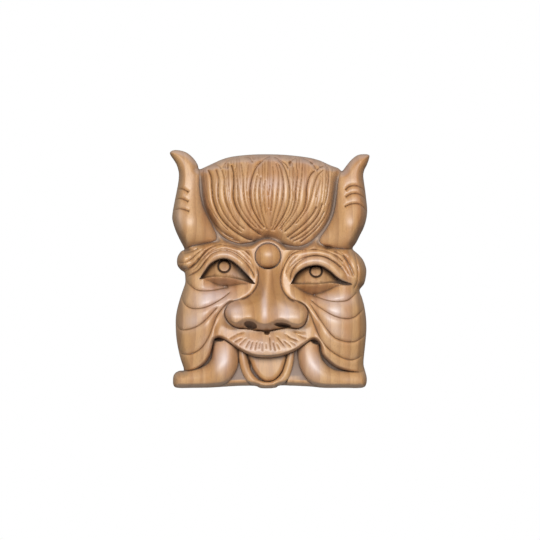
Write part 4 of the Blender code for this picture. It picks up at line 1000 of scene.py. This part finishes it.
# Painted sheen, a pale colour where the light's reflection falls: centre and radii of each patch, its tilt
# and how strong it is.
PAINTED_SHEEN_PLACES = [
    ((-54, 91), (18, 11), 0.35, 1),
    ((-30, 112), (16, 4), -0.5, 0.4),
    ((-72, 68), (14, 8), 0.3, 0.5),
    ((-58, 46), (9, 9), 0, 0.3),
    ((66, 89), (16, 6), 0, 0.8),
    ((66, 75), (11, 8), -0.3, 0.9),
    ((66, 58), (12, 6), -0.3, 0.4),
    ((-32, 78), (9, 8), 0, 0.8),
    ((17, 77), (11, 8), 0, 0.8),
    ((-3.5, 84), (3, 15), 0, 0.7),
    ((-3, 43), (36, 8), 0, 0.5),
    ((-45, 29), (7, 11), 0, 0.8),
    ((45, 25), (8, 11), 0.3, 0.9),
    ((-88, 168), (4, 14), 0, 0.4),
    ((-1, 203), (45, 7), 0, 0.4),
    ((-40, 134), (16, 4), 0, 0.3),
    ((47, 128), (16, 4), 0, 0.4),
]


def carved_mask(sizes):
    """The mask as one closed object at its place, with what its finish needs as attributes."""
    step = sizes.grid_step * 1000
    x, z = grid_places(step)
    height, outer = carved_front(x, z, step)
    fields = wear_fields(height, x, z, step)
    low_x = x[0, 0]
    low_z = z[0, 0]
    x, z, mark = moved_to_outline(x, z, outer, step)
    height = np.where(mark == 0, profile(z, RIM_PROFILE), height)
    depth_scale = -SOLID_LOW.y / height.max()
    back = back_height(x, z, np.where(mark > 0, outer, 0)) * depth_scale
    world_x, world_z = to_world(x, z)
    obj = grid_sheet("carved_mask", *x.shape)
    points = np.stack([world_x.ravel(), np.zeros(x.size), world_z.ravel()], axis=1)
    obj.data.vertices.foreach_set("co", points.ravel())
    cut_to_outline(obj, mark, outer)
    thicken(obj)
    points = coordinates(obj.data)
    numbers = place_numbers(obj.data)
    front = points[:, 1] < -0.5
    points[:, 1] = np.where(front, -height.ravel()[numbers] * depth_scale, -back.ravel()[numbers])
    obj.data.vertices.foreach_set("co", points.ravel())
    obj.data.attributes.remove(obj.data.attributes["place"])
    thin_out(obj, sizes.triangles)
    drill_hanging_hole(obj, sizes)
    points = coordinates(obj.data)
    x, z = to_drawing(points[:, 0], points[:, 2])
    facing = ease(-points[:, 1] * 1000, 3, 9)
    for name, field in fields.items():
        add_number(obj.data, name, sampled(field, (x - low_x) / step, (z - low_z) / step) * facing)
    deselect_all()
    obj.select_set(True)
    bpy.context.view_layer.objects.active = obj
    bpy.ops.object.shade_smooth_by_angle(angle=math.radians(50))
    return obj


class Socket:
    """One output of a shader node. Python's operators on it add Math nodes."""

    def __init__(self, recipe, output):
        self.recipe = recipe
        self.output = output

    def math(self, operation, first, second=0.0):
        return self.recipe.node("ShaderNodeMath", {"operation": operation}, {0: first, 1: second})

    def __add__(self, other):
        return self.math("ADD", self, other)

    __radd__ = __add__

    def __mul__(self, other):
        return self.math("MULTIPLY", self, other)

    __rmul__ = __mul__

    def __sub__(self, other):
        return self.math("SUBTRACT", self, other)

    def __rsub__(self, other):
        return self.math("SUBTRACT", other, self)

    def clipped(self):
        return self.recipe.node("ShaderNodeClamp", {}, {0: self})

    def fraction(self):
        return self.math("FRACT", self)


class Recipe:
    """A material's nodes, added one after the other."""

    def __init__(self, name):
        self.material = bpy.data.materials.new(name)
        self.material.use_nodes = True
        self.tree = self.material.node_tree
        self.shader = self.tree.nodes["Principled BSDF"]

    def node(self, kind, settings, inputs, output=0):
        """Adds a node: its settings first, then its inputs by name or number. Gives one of its outputs."""
        made = self.tree.nodes.new(kind)
        for name, value in settings.items():
            if name == "stops":
                self.set_stops(made.color_ramp, value)
            else:
                setattr(made, name, value)
        for name, value in inputs.items():
            self.feed(made.inputs[name], value)
        return Socket(self, made.outputs[output])

    def set_stops(self, ramp, stops):
        while len(ramp.elements) < len(stops):
            ramp.elements.new(0.5)
        for element, (position, colour) in zip(ramp.elements, stops):
            element.position = position
            element.color = colour

    def feed(self, socket, value):
        if isinstance(value, Socket):
            self.tree.links.new(value.output, socket)
        else:
            socket.default_value = value

    def attribute(self, name):
        return self.node("ShaderNodeAttribute", {"attribute_name": name}, {}, "Fac")

    def place(self, scale, turn=(0, 0, 0), move=(0, 0, 0)):
        """Object coordinates, scaled for a pattern."""
        where = self.node("ShaderNodeTexCoord", {}, {}, "Object")
        values = {"Vector": where, "Scale": scale, "Rotation": turn, "Location": move}
        return self.node("ShaderNodeMapping", {}, values)

    def noise(self, scale, detail=2.0, roughness=0.5, **place):
        where = self.place(scale, **place)
        values = {"Vector": where, "Scale": 1.0, "Detail": detail, "Roughness": roughness}
        return self.node("ShaderNodeTexNoise", {}, values, "Fac")

    def range(self, value, low, high, to_low=0.0, to_high=1.0):
        values = {"Value": value, "From Min": low, "From Max": high, "To Min": to_low, "To Max": to_high}
        return self.node("ShaderNodeMapRange", {"interpolation_type": "SMOOTHSTEP"}, values)

    def blend(self, share, first, second, how="MIX"):
        """Two colours mixed by a share."""
        settings = {"data_type": "RGBA", "blend_type": how}
        return self.node("ShaderNodeMix", settings, {0: share, 6: first, 7: second}, 2)


def lacquered_wood(colours):
    """Pale hardwood under worn satin lacquer, grey with dust in the ditches, with painted shade in the cuts,
    the hollows and under the lids, and painted sheen where the light's reflection falls.
    """
    wood = Recipe("lacquered_wood")
    groove = wood.attribute("groove")
    hollow = wood.attribute("hollow")
    edge = wood.attribute("worn_edge")
    dust = wood.attribute("dust")
    shade = wood.attribute("shade")
    bloom = wood.attribute("bloom")

    where = wood.node("ShaderNodeTexCoord", {}, {}, "Object")
    across = wood.node("ShaderNodeSeparateXYZ", {}, {0: where}, "X")
    deep = wood.node("ShaderNodeSeparateXYZ", {}, {0: where}, "Y")
    wander = wood.noise((9, 4, 2.2), detail=2)
    reach = across + 0.2 * deep + 0.02 * wander
    ripple = wood.noise((60, 12, 5), detail=3)
    ring = (reach * 90 + 0.8 * ripple).fraction()
    late_wood = wood.range(ring, 0.35, 0.97) * wood.range(ring, 1.0, 0.97)
    fibre = wood.noise((1100, 1100, 34), detail=4, roughness=0.65)
    pores = wood.noise((2300, 2300, 70), detail=2, roughness=0.5)
    mottle = wood.noise((30, 14, 7), detail=4, roughness=0.55)
    haze = wood.noise((70, 70, 40), detail=5, roughness=0.6, move=(3, 1, 2))

    streak = wood.noise((60, 9, 2.2), detail=3, roughness=0.6, move=(5, 2, 1))
    colour = wood.blend(wood.range(mottle, 0.3, 0.7), tuple(colours.gold), tuple(colours.tan))
    colour = wood.blend(wood.range(streak, 0.42, 0.58) * 0.7, colour, tuple(colours.pale))
    colour = wood.blend(late_wood * 0.4, colour, tuple(colours.late_wood))
    colour = wood.blend(wood.range(fibre, 0.45, 0.72) * 0.42, colour, tuple(colours.late_wood))
    colour = wood.blend(wood.range(pores, 0.6, 0.78) * 0.35, colour, tuple(colours.cut))
    colour = wood.blend(wood.range(haze, 0.45, 0.75) * 0.14, colour, tuple(colours.film))
    # Painted sheen: a milky pale colour where the light's reflection falls.
    milky = bloom * wood.range(haze, 0.25, 0.6, 0.55, 1.0) * 0.58
    colour = wood.blend(milky.clipped(), colour, tuple(colours.bloom))
    # Painted shade in the hollows, under the lids and on faces turned down.
    colour = wood.blend((hollow * 0.85).clipped(), colour, tuple(colours.shade_in_hollows))
    # Painted shade in the cuts.
    colour = wood.blend((groove * 0.8).clipped(), colour, tuple(colours.cut))
    colour = wood.blend((edge * 0.3).clipped(), colour, tuple(colours.rubbed))
    speckle = wood.noise((420, 420, 420), detail=4, roughness=0.7)
    # Dust, and on the tongue painted shade.
    dust_and_shade_share = (dust * wood.range(speckle, 0.3, 0.62, 0.45, 1.0)).clipped()
    colour = wood.blend(dust_and_shade_share, colour, tuple(colours.dust))
    # Painted shadow under the upper lids, and near black in the pupil rings.
    colour = wood.blend((shade * 0.85).clipped(), colour, tuple(colours.shade))

    roughness = 0.52 + 0.1 * haze + 0.12 * groove + 0.3 * dust_and_shade_share - 0.05 * edge
    grain_height = 0.6 * fibre + 0.4 * pores + 0.8 * late_wood + 1.2 * dust_and_shade_share * speckle
    bumps = {"Strength": 0.22, "Distance": 0.0004, "Height": grain_height}
    bump = wood.node("ShaderNodeBump", {}, bumps, "Normal")
    wood.feed(wood.shader.inputs["Base Color"], colour)
    wood.feed(wood.shader.inputs["Roughness"], roughness.clipped())
    wood.feed(wood.shader.inputs["Normal"], bump)
    wood.feed(wood.shader.inputs["Coat Weight"], 1 - dust_and_shade_share)
    wood.shader.inputs["Coat Roughness"].default_value = 0.38
    wood.shader.inputs["Coat IOR"].default_value = 1.5
    wood.shader.inputs["Specular IOR Level"].default_value = 0.6
    wood.shader.inputs["IOR"].default_value = 1.55
    return wood.material


def colour_property(name, words, default):
    return FloatVectorProperty(
        name=name, description=words, subtype="COLOR", size=4, min=0, max=1, default=default
    )


class MaskSizes(bpy.types.PropertyGroup):
    """Sizes of the mask's finer carving and of its hanging hole."""

    grid_step: FloatProperty(
        name="Carving step",
        description="How finely the front is carved",
        default=0.0005,
        precision=5,
        unit="LENGTH",
    )
    triangles: IntProperty(
        name="Triangles",
        description="Triangles that the finished carving keeps",
        default=190000,
        min=20000,
        max=199000,
    )
    hole_diameter: FloatProperty(
        name="Hanging hole",
        description="Diameter of the blind hole in the back",
        default=0.0075,
        precision=4,
        unit="LENGTH",
    )
    hole_depth: FloatProperty(
        name="Hole depth",
        description="Depth of the hanging hole",
        default=0.014,
        precision=4,
        unit="LENGTH",
    )
    hole_over_mount: FloatProperty(
        name="Hole over mount",
        description="Height of the hanging hole over the mount on the back",
        default=0.014,
        precision=4,
        unit="LENGTH",
    )


class MaskColours(bpy.types.PropertyGroup):
    """Colours of the wood, its cuts and what has settled on it, and of the painted shade and painted sheen.
    """

    tan: colour_property("Tan", "The wood's usual colour", (0.56, 0.247, 0.086, 1))
    gold: colour_property("Gold", "The wood where it is yellower", (0.6, 0.3, 0.094, 1))
    pale: colour_property("Pale", "The wood in its paler streaks", (0.68, 0.375, 0.155, 1))
    late_wood: colour_property("Late wood", "The darker part of each year's growth", (0.34, 0.13, 0.04, 1))
    # Painted shade at the bottom of the cuts, and also the colour of the wood's pores.
    cut: colour_property("Cuts", "The bottom of the gouge cuts", (0.12, 0.05, 0.02, 1))
    # Painted shade for the hollows, under the upper lids and on faces turned down.
    shade_in_hollows: colour_property("Stain", "Old lacquer in the hollows", (0.22, 0.095, 0.035, 1))
    film: colour_property("Film", "Pale film of dust in the lacquer", (0.57, 0.36, 0.24, 1))
    # Painted sheen: the pale colour laid where the light's reflection falls.
    bloom: colour_property("Bloom", "Lacquer gone milky where it is wiped most", (0.8, 0.69, 0.71, 1))
    rubbed: colour_property("Rubbed edges", "Edges rubbed pale", (0.66, 0.38, 0.2, 1))
    # Also used as painted shade on the tongue.
    dust: colour_property("Dust", "Dust in the deep places", (0.26, 0.18, 0.135, 1))
    # Painted shadow under the upper lids, and near black in the rings round the pupils.
    shade: colour_property("Shade", "The black of the rings round the pupils", (0.035, 0.018, 0.01, 1))


class StageSettings(bpy.types.PropertyGroup):
    """The camera, the floor and the lights."""

    frame_width: FloatProperty(
        name="View width",
        description="What the picture takes in at the mask's rim",
        default=0.54,
        unit="LENGTH",
    )
    camera_distance: FloatProperty(
        name="Camera distance",
        description="From the rim of the mask to the camera",
        default=2.2,
        unit="LENGTH",
    )
    floor_drop: FloatProperty(
        name="Floor",
        description="How far the floor lies below the foot of the hanging mask",
        default=0.42,
        unit="LENGTH",
    )
    key_light: FloatProperty(
        name="Key light",
        description="Power of the light over the camera, in watts",
        default=30,
        min=0,
    )
    sky_light: FloatProperty(
        name="Sky light",
        description="Strength of the light from all round",
        default=0.3,
        min=0,
    )


class MASK_OT_carve(bpy.types.Operator):
    """Carve the mask in its solid's place and give it its finish"""

    bl_idname = "mask.carve_front"
    bl_label = "Carve the mask"

    def execute(self, context):
        scene = context.scene
        obj = carved_mask(scene.mask_sizes)
        obj.data.materials.clear()
        obj.data.materials.append(lacquered_wood(scene.mask_colours))
        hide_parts("mask")
        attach(obj, "root")
        return {"FINISHED"}


def pale_material(name, colour, roughness):
    material = bpy.data.materials.new(name)
    material.use_nodes = True
    shader = material.node_tree.nodes["Principled BSDF"]
    shader.inputs["Base Color"].default_value = colour
    shader.inputs["Roughness"].default_value = roughness
    return material


def add_area_light(name, place, target, size, power, colour):
    data = bpy.data.lights.new(name, "AREA")
    data.shape = "RECTANGLE"
    data.size = size[0]
    data.size_y = size[1]
    data.energy = power
    data.color = colour
    light = bpy.data.objects.new(name, data)
    light.location = place
    light.rotation_euler = (Vector(target) - Vector(place)).to_track_quat("-Z", "Y").to_euler()
    bpy.context.scene.collection.objects.link(light)


def white_world(strength):
    """A white ground that lights the mask less than it shows, and from below hardly at all."""
    world = bpy.data.worlds.new("white_ground")
    world.use_nodes = True
    tree = world.node_tree
    seen = tree.nodes["Background"]
    seen.inputs["Color"].default_value = (1, 1, 1, 1)
    seen.inputs["Strength"].default_value = 1.0
    lit = tree.nodes.new("ShaderNodeBackground")
    lit.inputs["Color"].default_value = (1, 0.97, 0.92, 1)
    direction = tree.nodes.new("ShaderNodeTexCoord")
    parts = tree.nodes.new("ShaderNodeSeparateXYZ")
    rising = tree.nodes.new("ShaderNodeMapRange")
    rising.inputs["From Min"].default_value = -0.4
    rising.inputs["From Max"].default_value = 0.3
    rising.inputs["To Min"].default_value = 0.05 * strength
    rising.inputs["To Max"].default_value = strength
    tree.links.new(direction.outputs["Generated"], parts.inputs[0])
    tree.links.new(parts.outputs["Z"], rising.inputs["Value"])
    tree.links.new(rising.outputs[0], lit.inputs["Strength"])
    path = tree.nodes.new("ShaderNodeLightPath")
    blend = tree.nodes.new("ShaderNodeMixShader")
    tree.links.new(path.outputs["Is Camera Ray"], blend.inputs[0])
    tree.links.new(lit.outputs[0], blend.inputs[1])
    tree.links.new(seen.outputs[0], blend.inputs[2])
    tree.links.new(blend.outputs[0], tree.nodes["World Output"].inputs["Surface"])
    bpy.context.scene.world = world


# Drawn x and z that the camera looks at, and where along y its view has its stated width.
VIEW_MIDDLE = (2.0, 118.0)
VIEW_RIM = -0.016


class MASK_OT_set_stage(bpy.types.Operator):
    """Set the floor, the soft studio light and the camera in front of the mask"""

    bl_idname = "mask.set_stage"
    bl_label = "Set the stage"

    def execute(self, context):
        scene = context.scene
        stage = scene.mask_stage
        middle_x, middle_z = to_world(*VIEW_MIDDLE)
        deselect_all()
        bpy.ops.mesh.primitive_circle_add(
            vertices=96,
            radius=0.9,
            fill_type="NGON",
            location=(middle_x, -0.1, SOLID_LOW.z - stage.floor_drop),
        )
        floor = context.object
        floor.name = "floor"
        floor.data.materials.append(pale_material("pale_floor", (0.7, 0.7, 0.69, 1), 0.8))
        target = (middle_x, -0.03, middle_z)
        above = (middle_x - 0.02, -1.6, middle_z + 0.45)
        add_area_light("key", above, target, (1.6, 0.5), stage.key_light, (0.88, 0.95, 1))
        white_world(stage.sky_light)
        data = bpy.data.cameras.new("camera")
        data.sensor_width = 36
        data.lens = data.sensor_width * stage.camera_distance / stage.frame_width
        camera = bpy.data.objects.new("camera", data)
        camera.location = (middle_x, VIEW_RIM - stage.camera_distance, middle_z)
        camera.rotation_euler = (math.radians(90), 0, 0)
        scene.collection.objects.link(camera)
        scene.camera = camera
        scene.view_settings.view_transform = "Standard"
        return {"FINISHED"}


class MASK_PT_panel(bpy.types.Panel):
    """The steps of the mask, in the sidebar of the 3D view"""

    bl_label = "Wall mask"
    bl_space_type = "VIEW_3D"
    bl_region_type = "UI"
    bl_category = "Wall mask"

    def draw(self, context):
        layout = self.layout
        for group in (context.scene.mask_sizes, context.scene.mask_colours, context.scene.mask_stage):
            box = layout.box()
            for name in group.__annotations__:
                box.prop(group, name)
        layout.operator(MASK_OT_carve.bl_idname)
        layout.operator(MASK_OT_set_stage.bl_idname)


CLASSES = (MaskSizes, MaskColours, StageSettings, MASK_OT_carve, MASK_OT_set_stage, MASK_PT_panel)


def register():
    for added in CLASSES:
        bpy.utils.register_class(added)
    bpy.types.Scene.mask_sizes = PointerProperty(type=MaskSizes)
    bpy.types.Scene.mask_colours = PointerProperty(type=MaskColours)
    bpy.types.Scene.mask_stage = PointerProperty(type=StageSettings)


def unregister():
    del bpy.types.Scene.mask_stage
    del bpy.types.Scene.mask_colours
    del bpy.types.Scene.mask_sizes
    for added in reversed(CLASSES):
        bpy.utils.unregister_class(added)


def main():
    register()
    bpy.ops.mask.carve_front()
    bpy.ops.mask.set_stage()


if __name__ == "__main__":
    main()
